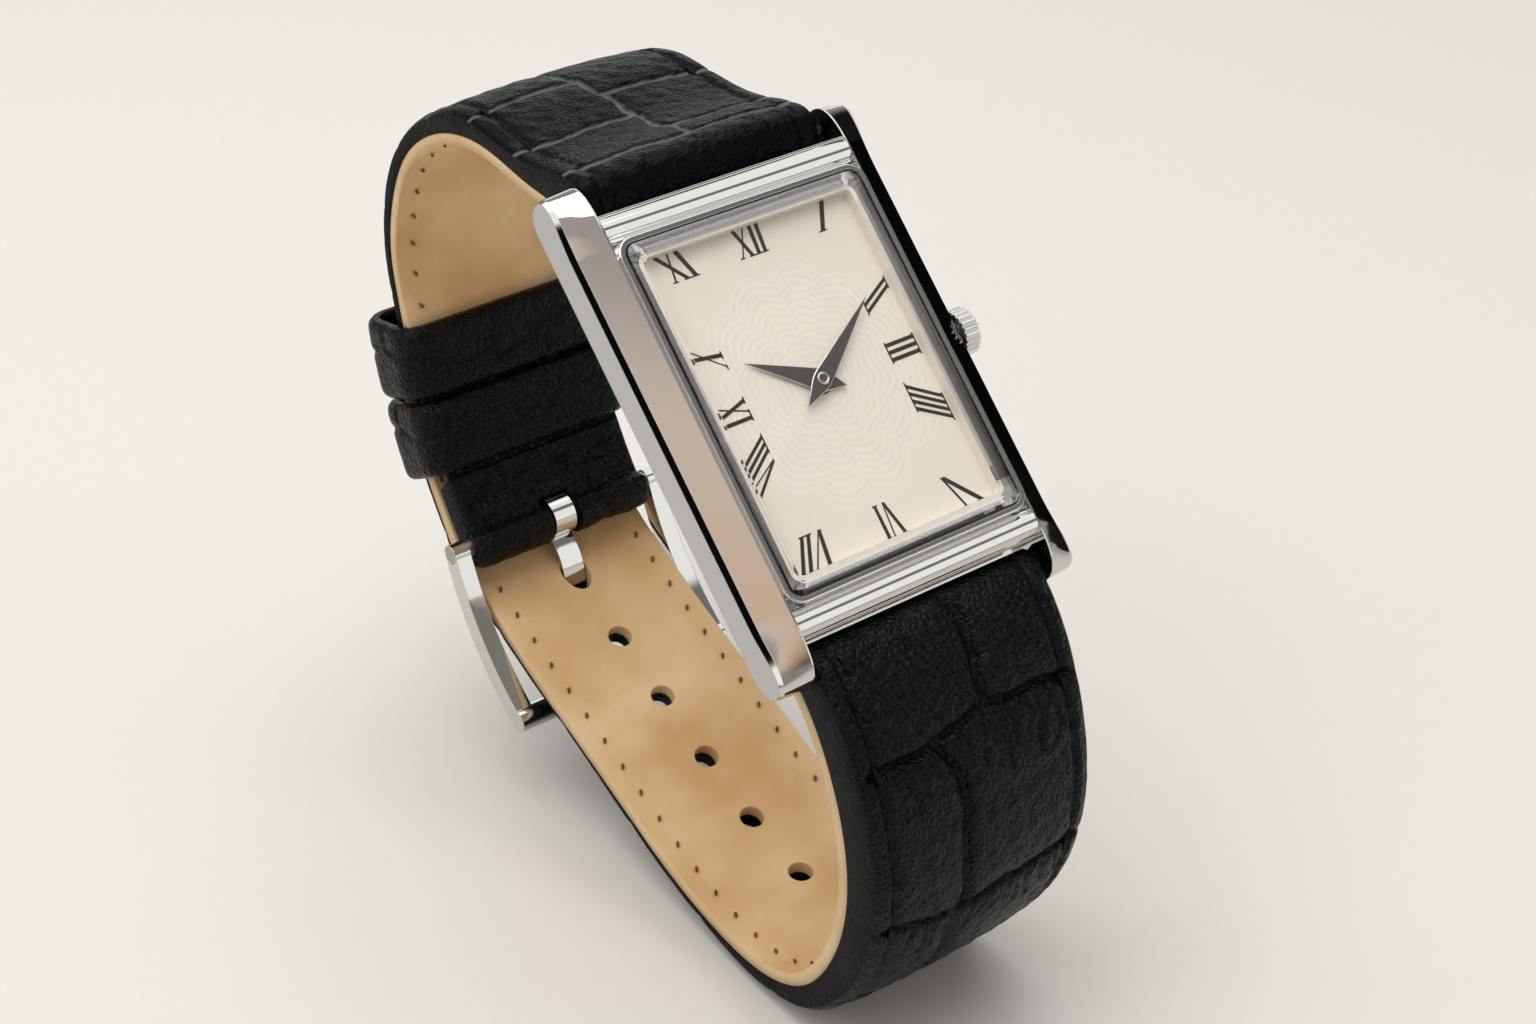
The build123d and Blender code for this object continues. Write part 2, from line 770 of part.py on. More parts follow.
def stem():
    """The stem with the groove that the setting lever's pin rides in."""
    end = crown_inner() + crown_length - crown_cap_height
    shaft = rod_x(stem_inner_end, end, 0, stem_height, stem_radius)
    ring = rod_x(stem_groove_start, stem_groove_start + stem_groove_width, 0, stem_height,
                 stem_radius + overrun)
    ring = ring - rod_x(stem_groove_start - overrun, stem_groove_start + stem_groove_width + overrun,
                        0, stem_height, stem_groove_radius)
    return shaft - ring


def crown_seal():
    """The rubber ring on the stem, inside the crown's tube."""
    tube_length = half_case + tube_stand_out - tube_inner_end()
    start = tube_inner_end() + tube_length * seal_start_share
    end = start + tube_length * seal_length_share
    ring = rod_x(start, end, 0, stem_height, seal_radius)
    return ring - rod_x(start - overrun, end + overrun, 0, stem_height, stem_radius + pivot_play)


def lever_pivot():
    """The setting lever's post, so that its pin moves evenly with the stem."""
    groove_middle = stem_groove_start + stem_groove_width / 2
    x = groove_middle + lever_arm * math.sin(math.radians(lever_swing))
    y = lever_arm * math.cos(math.radians(lever_swing))
    return x, y


def setting_lever():
    """The lever that turns as the stem is pulled."""
    pivot_x, pivot_y = lever_pivot()
    groove_middle = stem_groove_start + stem_groove_width / 2
    high = stem_height - stem_radius - wheel_air
    low = high - lever_thickness
    arm = Pos((pivot_x + groove_middle) / 2, pivot_y / 2, low)
    slot = SlotCenterToCenter(lever_arm, lever_width)
    plate = arm * Rot(0, 0, 90 - lever_swing) * extrude(slot, lever_thickness)
    boss = post(pivot_x, pivot_y, low, high, lever_post_radius * 2)
    plate = plate + boss
    plate = plate - post(pivot_x, pivot_y, low - overrun, high + overrun, lever_post_radius + pivot_play)
    pin_top = stem_height - stem_groove_radius - pivot_play
    return plate + post(groove_middle, 0, low, pin_top, lever_pin_radius)


# Hands

def hand(length, width, angle, low, bore):
    """A kite-shaped hand: widest near its centre, pointed at both ends."""
    tail = length * hand_tail_share
    shoulder = length * hand_shoulder_share
    half = width / 2
    outline = make_face(Polyline((length, 0), (shoulder, half), (-tail, 0), (shoulder, -half), close=True))
    sides = outline.vertices().sort_by(Axis.Y)
    outline = fillet([sides[0], sides[-1]], hand_shoulder_radius)
    plate = extrude(outline, hand_thickness)
    plate = plate - post(0, 0, -overrun, hand_thickness + overrun, bore)
    return Pos(0, 0, low) * Rot(0, 0, angle) * plate


def hour_hand():
    """The hour hand, pressed on the hour wheel's pipe."""
    return hand(hour_hand_length, hour_hand_width, hour_angle, hour_hand_height, hour_pipe_bore)


def minute_hand():
    """The minute hand on the cannon pinion, with its round cap."""
    plate = hand(minute_hand_length, minute_hand_width, minute_angle, minute_hand_height, cannon_radius / 2)
    top = minute_hand_height + hand_thickness
    return plate + post(0, 0, minute_hand_height, top + hand_cap_height, hand_cap_radius)


# Spring bars

def spring_tube(side):
    """The tube of one lug's spring bar, with its ends turned in."""
    half = spring_tube_length / 2
    y = side * lug_bar_y
    inner = half - spring_tube_crimp
    tube = rod_x(-half, half, y, lug_bar_z, spring_tube_radius)
    tube = tube - rod_x(-inner, inner, y, lug_bar_z, spring_tube_bore)
    return tube - rod_x(-half - overrun, half + overrun, y, lug_bar_z, tip_radius + hole_play)


def spring_tip(side, end):
    """One sprung tip: a head inside the tube and the pin in the case."""
    y = side * lug_bar_y
    outer = half_gap + tip_travel
    inner = outer - tip_length
    head = rod_x(inner, inner + tip_head_length, y, lug_bar_z, tip_head_radius)
    pin = rod_x(inner, outer, y, lug_bar_z, tip_radius)
    tip = head + pin
    if end < 0:
        tip = mirror(tip, Plane.YZ)
    return tip


# Strap

def wrist_point(angle, radius):
    """A point on a circle about the wrist's centre, from straight below."""
    y = wrist_centre_y + radius * math.sin(math.radians(angle))
    z = wrist_centre_z - radius * math.cos(math.radians(angle))
    return y, z


def wrist_angle(y, radius):
    """The angle at which a circle about the wrist's centre reaches a y."""
    return math.degrees(math.asin((y - wrist_centre_y) / radius))


def arc_points(start, end, radius, count):
    """Points along a circle about the wrist's centre."""
    step = (end - start) / (count - 1)
    return [wrist_point(start + index * step, radius) for index in range(count)]


def lug_points(shares, side):
    """The free stretch of a strap piece beside its lug, on the side given."""
    reach = loop_half_width - lug_bar_y
    drop = loop_depth + lug_bar_z
    return [(side * (lug_bar_y + out * reach), lug_bar_z - down * drop) for out, down in shares]


def dip_points():
    """The long piece's stretch past the buckle, from its end bar to its pin."""
    result = []
    for back, inwards in six_dip_shares:
        radius = tail_radius - inwards * strap_thickness
        y = buckle_bar_y - back * (buckle_bar_y - buckle_end_y)
        result.append(wrist_point(wrist_angle(y, radius), radius))
    return result


def resampled(points, count):
    """A smooth curve through points, as a given number of points on it."""
    curve = Spline([(0, y, z) for y, z in points])
    samples = [curve @ (index / (count - 1)) for index in range(count)]
    return [(sample.Y, sample.Z) for sample in samples]


def shifted(points, distances):
    """A curve moved sideways, by one distance or by one for each point."""
    result = []
    for index, (y, z) in enumerate(points):
        distance = distances[index] if isinstance(distances, list) else distances
        before = points[max(index - 1, 0)]
        after = points[min(index + 1, len(points) - 1)]
        run_y = after[0] - before[0]
        run_z = after[1] - before[1]
        run = math.hypot(run_y, run_z)
        result.append((y - distance * run_z / run, z + distance * run_y / run))
    return result


def band(first, second, half_width):
    """The solid between two curves drawn in y and z, across the strap."""
    edge_a = Spline([(0, y, z) for y, z in first])
    edge_b = Spline([(0, y, z) for y, z in reversed(second)])
    close_a = Line(edge_a @ 1, edge_b @ 0)
    close_b = Line(edge_b @ 1, edge_a @ 0)
    outline = make_face(Wire([edge_a, close_a, edge_b, close_b]))
    return Pos(-half_width, 0, 0) * extrude(outline, 2 * half_width, dir=(1, 0, 0))


def sector(low_angle, high_angle, low_radius, high_radius, half_width):
    """A block bent round the wrist between two angles and two radii."""
    inner = ThreePointArc(*[(0, *wrist_point(angle, low_radius)) for angle in
                            (low_angle, (low_angle + high_angle) / 2, high_angle)])
    outer = ThreePointArc(*[(0, *wrist_point(angle, high_radius)) for angle in
                            (high_angle, (low_angle + high_angle) / 2, low_angle)])
    outline = make_face(Wire([inner, Line(inner @ 1, outer @ 0), outer, Line(outer @ 1, inner @ 0)]))
    return Pos(-half_width, 0, 0) * extrude(outline, 2 * half_width, dir=(1, 0, 0))


def taper():
    """The strap's outline from the front: wide at the lugs, narrow below."""
    top = rail_top + loop_half_width
    bottom = wrist_centre_z - tail_outer_radius - loop_half_width
    corners = [(strap_half_lug, 0, top), (strap_half_lug, 0, taper_top),
               (strap_half_tip, 0, taper_bottom), (strap_half_tip, 0, bottom),
               (-strap_half_tip, 0, bottom), (-strap_half_tip, 0, taper_bottom),
               (-strap_half_lug, 0, taper_top), (-strap_half_lug, 0, top)]
    reach = 2 * loop_half_width
    outline = make_face(Polyline(corners, close=True))
    return extrude(outline, reach, dir=(0, 1, 0), both=True)


def lug_hole(side):
    """The hole through the strap's end for the spring bar."""
    half = strap_half_lug + overrun
    return rod_x(-half, half, side * lug_bar_y, lug_bar_z, spring_tube_radius + bar_hole_play)


def twelve_curves():
    """Inner, middle and outer curves of the short, buckle piece."""
    start = wrist_angle(buckle_bar_y, wrist_radius)
    end = keeper_start_angle + 2 * keeper_degrees() + 2 * keeper_travel_angle
    inner = lug_points(twelve_inner_shares, 1) + arc_points(end, start, wrist_radius, 8)
    outer = lug_points(twelve_outer_shares, 1) + arc_points(end, start, buckle_outer_radius, 8)
    middle = shifted(resampled(inner, 40), lining_thickness)
    return inner, middle, outer


def six_curves():
    """Inner, middle and outer curves of the long piece with the holes."""
    tail = arc_points(tail_start_angle, tail_tip_angle, tail_radius, 8)
    inner = lug_points(six_inner_shares, -1) + dip_points() + tail
    samples = resampled(inner, 70)
    middle = shifted(samples, -lining_thickness)
    outer = shifted(samples, [-value for value in padded_thickness(samples)])
    return samples, middle, outer


def padded_thickness(samples):
    """The long piece's thickness along its curve: padded towards the lug."""
    values = []
    travelled = 0
    for index, point in enumerate(samples):
        if index:
            before = samples[index - 1]
            travelled = travelled + math.hypot(point[0] - before[0], point[1] - before[1])
        share = min(max((travelled - pad_full_length) / pad_fade_length, 0), 1)
        fade = (1 + math.cos(math.pi * share)) / 2
        values.append(strap_thickness + pad_thickness * fade)
    return values


def keeper_degrees():
    """The angle that one keeper takes up on the strap."""
    return math.degrees(keeper_width / buckle_outer_radius)


def strap_hole_places():
    """Middle and slope of each free hole, walked from the tongue's hole."""
    samples = six_curves()[0]
    fine = resampled(samples, 600)
    fine = [point for point in fine if point[0] <= tongue_hole_y and point[1] < -loop_depth / 2]
    places = []
    travelled = 0
    wanted = hole_pitch
    for index in range(len(fine) - 1, 0, -1):
        run_y = fine[index][0] - fine[index - 1][0]
        run_z = fine[index][1] - fine[index - 1][1]
        travelled = travelled + math.hypot(run_y, run_z)
        if travelled >= wanted and len(places) < hole_count:
            places.append((fine[index], math.degrees(math.atan2(run_z, run_y))))
            wanted = wanted + hole_pitch
    return places


def hole_cutters():
    """Round cutters for the free holes."""
    height = 4 * strap_thickness
    cutters = []
    for (y, z), slope in strap_hole_places():
        cutters.append(Pos(0, y, z) * Rot(slope, 0, 0) * Cylinder(hole_radius, height))
    return cutters


def tip_cutter():
    """What is cut from the strap's end to round its tip."""
    y, z = wrist_point(tail_tip_angle, tail_radius + strap_thickness / 2)
    height = 2 * strap_thickness
    frame = Pos(0, y, z) * Rot(tail_tip_angle, 0, 0)
    half = strap_half_tip + overrun
    side = strap_half_tip - tip_side_shave
    side_y = -tip_curve_radius * tip_side_share
    arc = ThreePointArc((-strap_half_tip, -tip_curve_radius, 0), (-side, side_y, 0), (0, 0, 0))
    arc_two = ThreePointArc((0, 0, 0), (side, side_y, 0), (strap_half_tip, -tip_curve_radius, 0))
    around = Polyline(arc_two @ 1, (half, -tip_curve_radius, 0), (half, overrun * 2, 0),
                      (-half, overrun * 2, 0), (-half, -tip_curve_radius, 0), arc @ 0)
    outline = make_face(Wire([arc, arc_two] + list(around.edges())))
    return frame * extrude(outline, height, both=True)


def six_cut(shape):
    """Trims a layer of the long piece to its outline, with all its holes."""
    shape = (shape & taper()) - lug_hole(-1)
    for cutter in hole_cutters():
        shape = shape - cutter
    return shape - tip_cutter() - tongue_envelope()


def six_lining():
    """The lining of the long piece, with its holes."""
    inner, middle, outer = six_curves()
    return six_cut(band(inner, middle, strap_half_lug))


def six_leather():
    """The outer leather of the long piece, thick where it is padded."""
    inner, middle, outer = six_curves()
    return six_cut(band(middle, outer, strap_half_lug))


def buckle_bar_place():
    """The middle of the buckle's pin."""
    angle = wrist_angle(buckle_bar_y, buckle_bar_radius)
    return wrist_point(angle, buckle_bar_radius)


def buckle_end_place():
    """The middle of the buckle's end bar."""
    angle = wrist_angle(buckle_end_y, buckle_end_radius)
    return wrist_point(angle, buckle_end_radius)


def fold_solid():
    """The leather folded round the buckle's pin and back along the inside."""
    y, z = buckle_bar_place()
    start = wrist_angle(buckle_bar_y, wrist_radius)
    end = wrist_angle(fold_end_y, wrist_radius)
    turn = rod_x(-strap_half_tip, strap_half_tip, y, z,
                 buckle_pin_radius + buckle_pin_play + buckle_leather)
    inside = sector(start, end, wrist_radius - fold_rise, buckle_outer_radius, strap_half_tip)
    shape = turn + inside
    shape = shape - rod_x(-half_case, half_case, y, z, buckle_pin_radius + buckle_pin_play)
    slot = block(-slot_half_width, slot_half_width, y - 4 * buckle_leather, slot_end_y,
                 z - 4 * buckle_leather, z + 4 * buckle_leather)
    return shape - slot


def twelve_lining():
    """The lining of the buckle piece, which stops where the fold begins."""
    inner, middle, outer = twelve_curves()
    shape = band(inner, middle, strap_half_lug) & taper()
    shape = shape - lug_hole(1)
    low = wrist_angle(buckle_bar_y, wrist_radius) - overrun_angle
    high = wrist_angle(fold_end_y, wrist_radius)
    return shape - sector(low, high, wrist_radius - overrun, buckle_outer_radius + overrun,
                          strap_half_lug + overrun)


def twelve_leather():
    """The outer leather of the buckle piece."""
    inner, middle, outer = twelve_curves()
    shape = band(middle, outer, strap_half_lug) & taper()
    shape = shape - lug_hole(1)
    low = wrist_angle(buckle_bar_y, wrist_radius) - overrun_angle
    high = wrist_angle(fold_end_y, wrist_radius)
    shape = shape - sector(low, high, wrist_radius - overrun, buckle_outer_radius + overrun,
                           strap_half_lug + overrun)
    return shape + fold_solid()


def keeper(start):
    """A leather loop round both strap pieces, with rounded outer edges."""
    end = start + keeper_degrees()
    low = wrist_radius - keeper_play
    high = tail_outer_radius + keeper_play
    half = strap_half_tip + keeper_play
    outer = sector(start, end, low - keeper_wall, high + keeper_wall, half + keeper_wall)
    corners = outer.edges().filter_by(GeomType.CIRCLE)
    outer = fillet(corners, keeper_wall * keeper_round_share)
    return outer - sector(start - overrun_angle, end + overrun_angle, low, high, half)


def fixed_keeper():
    """The keeper sewn to the buckle piece."""
    return keeper(keeper_start_angle)


def free_keeper():
    """The loose keeper, which slides along the strap."""
    gap = math.degrees(keeper_gap / buckle_outer_radius)
    return keeper(keeper_start_angle + keeper_degrees() + gap)


# Buckle

def buckle_frame():
    """The buckle: two bowed legs joined by a round end bar."""
    pin_y, pin_z = buckle_bar_place()
    end_y, end_z = buckle_end_place()
    run = math.hypot(end_y - pin_y, end_z - pin_z)
    side_y = (pin_z - end_z) / run
    side_z = (pin_y - end_y) / run
    half = buckle_leg_height / 2
    mid_y = (pin_y + end_y) / 2 + side_y * buckle_bow
    mid_z = (pin_z + end_z) / 2 - side_z * buckle_bow
    arcs = []
    for shift in (half, -half):
        points = [(0, y + side_y * shift, z - side_z * shift) for y, z in
                  ((pin_y, pin_z), (mid_y, mid_z), (end_y, end_z))]
        arcs.append(ThreePointArc(*points))
    outline = make_face(Wire([arcs[0], Line(arcs[0] @ 1, arcs[1] @ 1), arcs[1],
                              Line(arcs[1] @ 0, arcs[0] @ 0)]))
    inner_x = strap_half_tip + buckle_side_gap
    outer_x = inner_x + buckle_leg_width
    leg = Pos(inner_x, 0, 0) * extrude(outline, buckle_leg_width, dir=(1, 0, 0))
    leg = leg + rod_x(inner_x, outer_x, pin_y, pin_z, half)
    leg = leg + rod_x(inner_x, outer_x, end_y, end_z, half)
    rod = rod_x(-outer_x, outer_x, end_y, end_z, buckle_end_rod)
    frame = leg + mirror(leg, Plane.YZ) + rod
    return frame - rod_x(-outer_x - overrun, outer_x + overrun, pin_y, pin_z, buckle_pin_radius)


def buckle_pin():
    """The pin through the fold, held in the ends of the legs."""
    y, z = buckle_bar_place()
    half = strap_half_tip + buckle_side_gap + buckle_leg_width
    return rod_x(-half, half, y, z, buckle_pin_radius)


def tongue_line():
    """The tongue's middle line from the pin to its tip."""
    pin_y, pin_z = buckle_bar_place()
    reach = buckle_bar_y - buckle_end_y
    points = []
    for across, down in tongue_shares:
        points.append((pin_y - reach * across, pin_z + strap_thickness * down))
    return resampled(points, 16)


def tongue_shape(extra):
    """The tongue, or the room that it needs when extra is more than zero."""
    line = tongue_line()
    half = tongue_thickness / 2 + extra
    pin_y, pin_z = buckle_bar_place()
    width = tongue_width / 2 + extra
    blade = band(shifted(line, half), shifted(line, -half), width)
    curl_radius = buckle_pin_radius + buckle_pin_play + tongue_thickness + extra
    return blade + rod_x(-width, width, pin_y, pin_z, curl_radius)


def tongue_envelope():
    """The room round the tongue that is cut from the strap."""
    return tongue_shape(tongue_play)


def buckle_tongue():
    """The flat tongue curled round the pin."""
    pin_y, pin_z = buckle_bar_place()
    bore = rod_x(-half_case, half_case, pin_y, pin_z, buckle_pin_radius + buckle_pin_play)
    return tongue_shape(0) - bore


os.makedirs("parts", exist_ok=True)
write(case(), "case")
write(crown_tube(), "crown_tube")
write(case_back(), "case_back")
write(back_seal(), "back_seal")
write(crystal(), "crystal")
write(crystal_gasket(), "crystal_gasket")
write(dial(), "dial")
write(dial_flange(), "dial_flange")
write(movement_holder(), "movement_holder")
write(main_plate(), "main_plate")
write(train_bridge(), "train_bridge")
write(centre_wheel(), "centre_wheel")
write(cannon_pinion(), "cannon_pinion")
write(minute_wheel(), "minute_wheel")
write(hour_wheel(), "hour_wheel")
write(third_wheel(), "third_wheel")
write(fifth_wheel(), "fifth_wheel")
write(rotor(), "rotor")
write(stator(), "stator")
write(coil(), "coil")
write(battery(), "battery")
write(circuit_block(), "circuit_block")
write(quartz_can(), "quartz_can")
write(crown(), "crown")
write(stem(), "stem")
write(crown_seal(), "crown_seal")
write(setting_lever(), "setting_lever")
write(hour_hand(), "hour_hand")
write(minute_hand(), "minute_hand")
for side, end_name in ((1, "twelve"), (-1, "six")):
    write(spring_tube(side), "spring_bar_" + end_name)
    write(spring_tip(side, -1), "spring_tip_" + end_name + "_left")
    write(spring_tip(side, 1), "spring_tip_" + end_name + "_right")
write(six_lining(), "strap_six_lining")
write(six_leather(), "strap_six_leather")
write(twelve_lining(), "strap_twelve_lining")
write(twelve_leather(), "strap_twelve_leather")
write(fixed_keeper(), "fixed_keeper")
write(free_keeper(), "free_keeper")
write(buckle_frame(), "buckle_frame")
write(buckle_pin(), "buckle_pin")
write(buckle_tongue(), "buckle_tongue")
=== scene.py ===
import logging
import math
import random
from dataclasses import dataclass, field
from enum import Enum

import bpy
import bmesh
import numpy as np
from mathutils import Matrix, Vector

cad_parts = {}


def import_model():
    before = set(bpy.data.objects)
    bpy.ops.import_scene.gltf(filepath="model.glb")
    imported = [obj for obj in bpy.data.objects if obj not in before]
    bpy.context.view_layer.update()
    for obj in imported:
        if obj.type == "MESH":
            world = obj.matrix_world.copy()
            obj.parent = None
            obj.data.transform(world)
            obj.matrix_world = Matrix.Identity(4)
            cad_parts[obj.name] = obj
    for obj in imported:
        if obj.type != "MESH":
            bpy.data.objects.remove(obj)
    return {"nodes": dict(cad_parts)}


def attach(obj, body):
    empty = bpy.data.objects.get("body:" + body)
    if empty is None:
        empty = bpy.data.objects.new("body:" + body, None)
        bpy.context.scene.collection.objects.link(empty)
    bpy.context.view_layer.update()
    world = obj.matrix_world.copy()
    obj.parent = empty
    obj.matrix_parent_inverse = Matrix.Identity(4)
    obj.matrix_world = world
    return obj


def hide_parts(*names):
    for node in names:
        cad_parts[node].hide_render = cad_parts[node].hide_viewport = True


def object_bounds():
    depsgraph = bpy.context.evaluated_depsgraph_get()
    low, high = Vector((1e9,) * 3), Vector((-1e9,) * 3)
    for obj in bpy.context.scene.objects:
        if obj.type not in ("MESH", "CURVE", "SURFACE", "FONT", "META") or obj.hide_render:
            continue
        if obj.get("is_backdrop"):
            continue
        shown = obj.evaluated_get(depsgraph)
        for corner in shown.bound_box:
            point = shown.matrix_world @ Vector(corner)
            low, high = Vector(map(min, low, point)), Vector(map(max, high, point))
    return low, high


LOG = logging.getLogger("watch")
MM = 0.001

Point = tuple[float, float]
Colour = tuple[float, float, float, float]


# Colour, nodes and places

def linear(hex_colour: str) -> Colour:
    """Turns an sRGB hex colour into linear light.

    Args:
        hex_colour: six hex digits after a #.

    Returns:
        Red, green, blue and an alpha of 1.
    """
    parts = []
    for index in (1, 3, 5):
        share = int(hex_colour[index:index + 2], 16) / 255
        parts.append(share / 12.92 if share <= 0.04045 else ((share + 0.055) / 1.055) ** 2.4)
    return parts[0], parts[1], parts[2], 1.0


def scaled(colour: Colour, share: float) -> Colour:
    """Gives a colour with its light multiplied by a share."""
    return colour[0] * share, colour[1] * share, colour[2] * share, 1.0


def add_node(tree: bpy.types.NodeTree, kind: str, settings: dict | None = None,
             links: dict | None = None) -> bpy.types.Node:
    """Adds one node, sets its properties or sockets, and links its inputs.

    Args:
        tree: the node tree that gets the node.
        kind: Blender's name of the node type.
        settings: property names or input socket names (or numbers) with their values.
        links: input socket names (or numbers) with the output sockets that feed them.

    Returns:
        The new node.
    """
    node = tree.nodes.new(kind)
    for key, value in (settings or {}).items():
        if isinstance(key, int) or key in node.inputs:
            node.inputs[key].default_value = value
        else:
            setattr(node, key, value)
    for key, socket in (links or {}).items():
        tree.links.new(socket, node.inputs[key])
    return node


@dataclass(frozen=True)
class DialSpace:
    """The dial's own coordinates (x to three, y to twelve, z out of the dial) in millimetres."""

    lean_deg: float = 44.0
    centre_y: float = -1.0
    centre_z: float = -21.0

    def matrix(self) -> Matrix:
        """Gives the matrix from dial millimetres to metres in the shared frame."""
        lean = Matrix.Rotation(math.radians(self.lean_deg), 4, "X")
        return Matrix.Scale(MM, 4) @ lean @ Matrix.Translation((0.0, -self.centre_y, -self.centre_z))


DIAL = DialSpace()


def new_object(name: str, mesh: bpy.types.Mesh, body: str,
               materials: list[bpy.types.Material]) -> bpy.types.Object:
    """Makes a piece from a mesh drawn in dial millimetres and lets it ride on a body.

    Args:
        name: the piece's name.
        mesh: its mesh, in dial coordinates.
        body: the body it moves with.
        materials: its Blender materials, in slot order.

    Returns:
        The new object.
    """
    mesh.transform(DIAL.matrix())
    piece = bpy.data.objects.new(name, mesh)
    bpy.context.scene.collection.objects.link(piece)
    for material in materials:
        mesh.materials.append(material)
    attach(piece, body)
    return piece


def mesh_from(name: str, vertices: np.ndarray, faces: list[tuple[int, ...]]) -> bpy.types.Mesh:
    """Makes a smooth mesh from arrays, with its normals turned outwards.

    Args:
        name: the mesh's name.
        vertices: an array of points, three numbers each.
        faces: vertex numbers of each face.

    Returns:
        The mesh.
    """
    mesh = bpy.data.meshes.new(name)
    mesh.from_pydata([tuple(map(float, v)) for v in vertices], [], faces)
    shape = bmesh.new()
    shape.from_mesh(mesh)
    close_up(shape, mesh)
    mesh.polygons.foreach_set("use_smooth", [True] * len(mesh.polygons))
    mesh.update()
    return mesh


def close_up(shape: bmesh.types.BMesh, mesh: bpy.types.Mesh) -> None:
    """Turns a shape's normals outwards, writes it into a mesh and frees it.

    Args:
        shape: the shape.
        mesh: the mesh that takes it up.
    """
    bmesh.ops.recalc_face_normals(shape, faces=shape.faces)
    shape.to_mesh(mesh)
    shape.free()


def cut_away(piece: bpy.types.Object, tool: bmesh.types.BMesh, crossing: bool = False) -> None:
    """Cuts a shape that is drawn in dial millimetres out of a piece.

    Args:
        piece: the piece that is cut.
        tool: the shape, which stays as it is.
        crossing: whether the piece's own faces may cross each other.
    """
    mesh = bpy.data.meshes.new("cutter")
    tool.to_mesh(mesh)
    mesh.transform(DIAL.matrix())
    cutter = bpy.data.objects.new("cutter", mesh)
    bpy.context.scene.collection.objects.link(cutter)
    cut = piece.modifiers.new("cut", "BOOLEAN")
    cut.object, cut.operation, cut.solver, cut.use_self = cutter, "DIFFERENCE", "EXACT", crossing
    graph = bpy.context.evaluated_depsgraph_get()
    baked = bpy.data.meshes.new_from_object(piece.evaluated_get(graph))
    piece.modifiers.clear()
    piece.data = baked
    bpy.data.objects.remove(cutter)


# Lines

def run_along(line: np.ndarray) -> np.ndarray:
    """Gives how far along a line each of its points lies, in its own unit."""
    return np.concatenate([[0.0], np.cumsum(np.linalg.norm(np.diff(line, axis=0), axis=1))])


def read_along(line: np.ndarray, places: np.ndarray) -> np.ndarray:
    """Gives the points of a line that lie at the given distances along it."""
    run = run_along(line)
    return np.column_stack([np.interp(places, run, column) for column in line.T])


def outward_of(curve: np.ndarray, way: int = 1) -> np.ndarray:
    """Gives the direction square to a curve at each point.

    Args:
        curve: its points, y and z.
        way: 1 for the direction on its right, -1 for that on its left.

    Returns:
        Rows of unit length.
    """
    slope = np.gradient(curve, axis=0)
    slope /= np.linalg.norm(slope, axis=1)[:, None]
    return np.column_stack([slope[:, 1], -slope[:, 0]]) * way


# Finishes

@dataclass(frozen=True)
class Finish:
    """What every finish has: a name and a way to make its material."""

    name: str = "finish"

    def start(self) -> tuple[bpy.types.Material, bpy.types.NodeTree, bpy.types.Node]:
        """Starts a material.

        Returns:
            The material, its node tree and its surface shader.
        """
        material = bpy.data.materials.new(self.name)
        material.use_nodes = True
        tree = material.node_tree
        shader = tree.nodes["Principled BSDF"]
        return material, tree, shader

    def mottle(self, grain_mm: float, dark: Colour, light: Colour, depth_mm: float = 0.0,
               detail: float = 2.0) -> tuple[bpy.types.Material, bpy.types.NodeTree,
                                             bpy.types.Node, bpy.types.NodeSocket]:
        """Starts a material whose colour runs between two tones in grains of a real size.

        Args:
            grain_mm: how far apart the grains lie, in millimetres.
            dark: the colour between the grains.
            light: the colour on the grains.
            depth_mm: how high the grains stand, in millimetres, or 0 for a flat surface.
            detail: how many finer layers the grain has.

        Returns:
            The material, its node tree, its surface shader and the grain's strength.
        """
        material, tree, shader = self.start()
        coordinates = add_node(tree, "ShaderNodeTexCoord")
        grain = add_node(tree, "ShaderNodeTexNoise", {"Scale": 1 / (grain_mm * MM), "Detail": detail},
                         {"Vector": coordinates.outputs["Object"]}).outputs["Fac"]
        tone = add_node(tree, "ShaderNodeValToRGB", None, {"Fac": grain})
        tone.color_ramp.elements[0].color = dark
        tone.color_ramp.elements[1].color = light
        tree.links.new(tone.outputs["Color"], shader.inputs["Base Color"])
        if depth_mm:
            relief = add_node(tree, "ShaderNodeBump", {"Distance": depth_mm * MM}, {"Height": grain})
            tree.links.new(relief.outputs["Normal"], shader.inputs["Normal"])
        return material, tree, shader, grain


class Metal(Enum):
    """The plain metals of the movement, the back and the pins, by their colour."""

    SATIN_STEEL = "#A9A9AA"
    PLATED_BRASS = "#CDBE93"
    BARE_BRASS = "#D3A653"
    PLAIN_STEEL = "#8D8E92"
    COPPER = "#B9714A"
    NICKEL = "#B8B6AF"


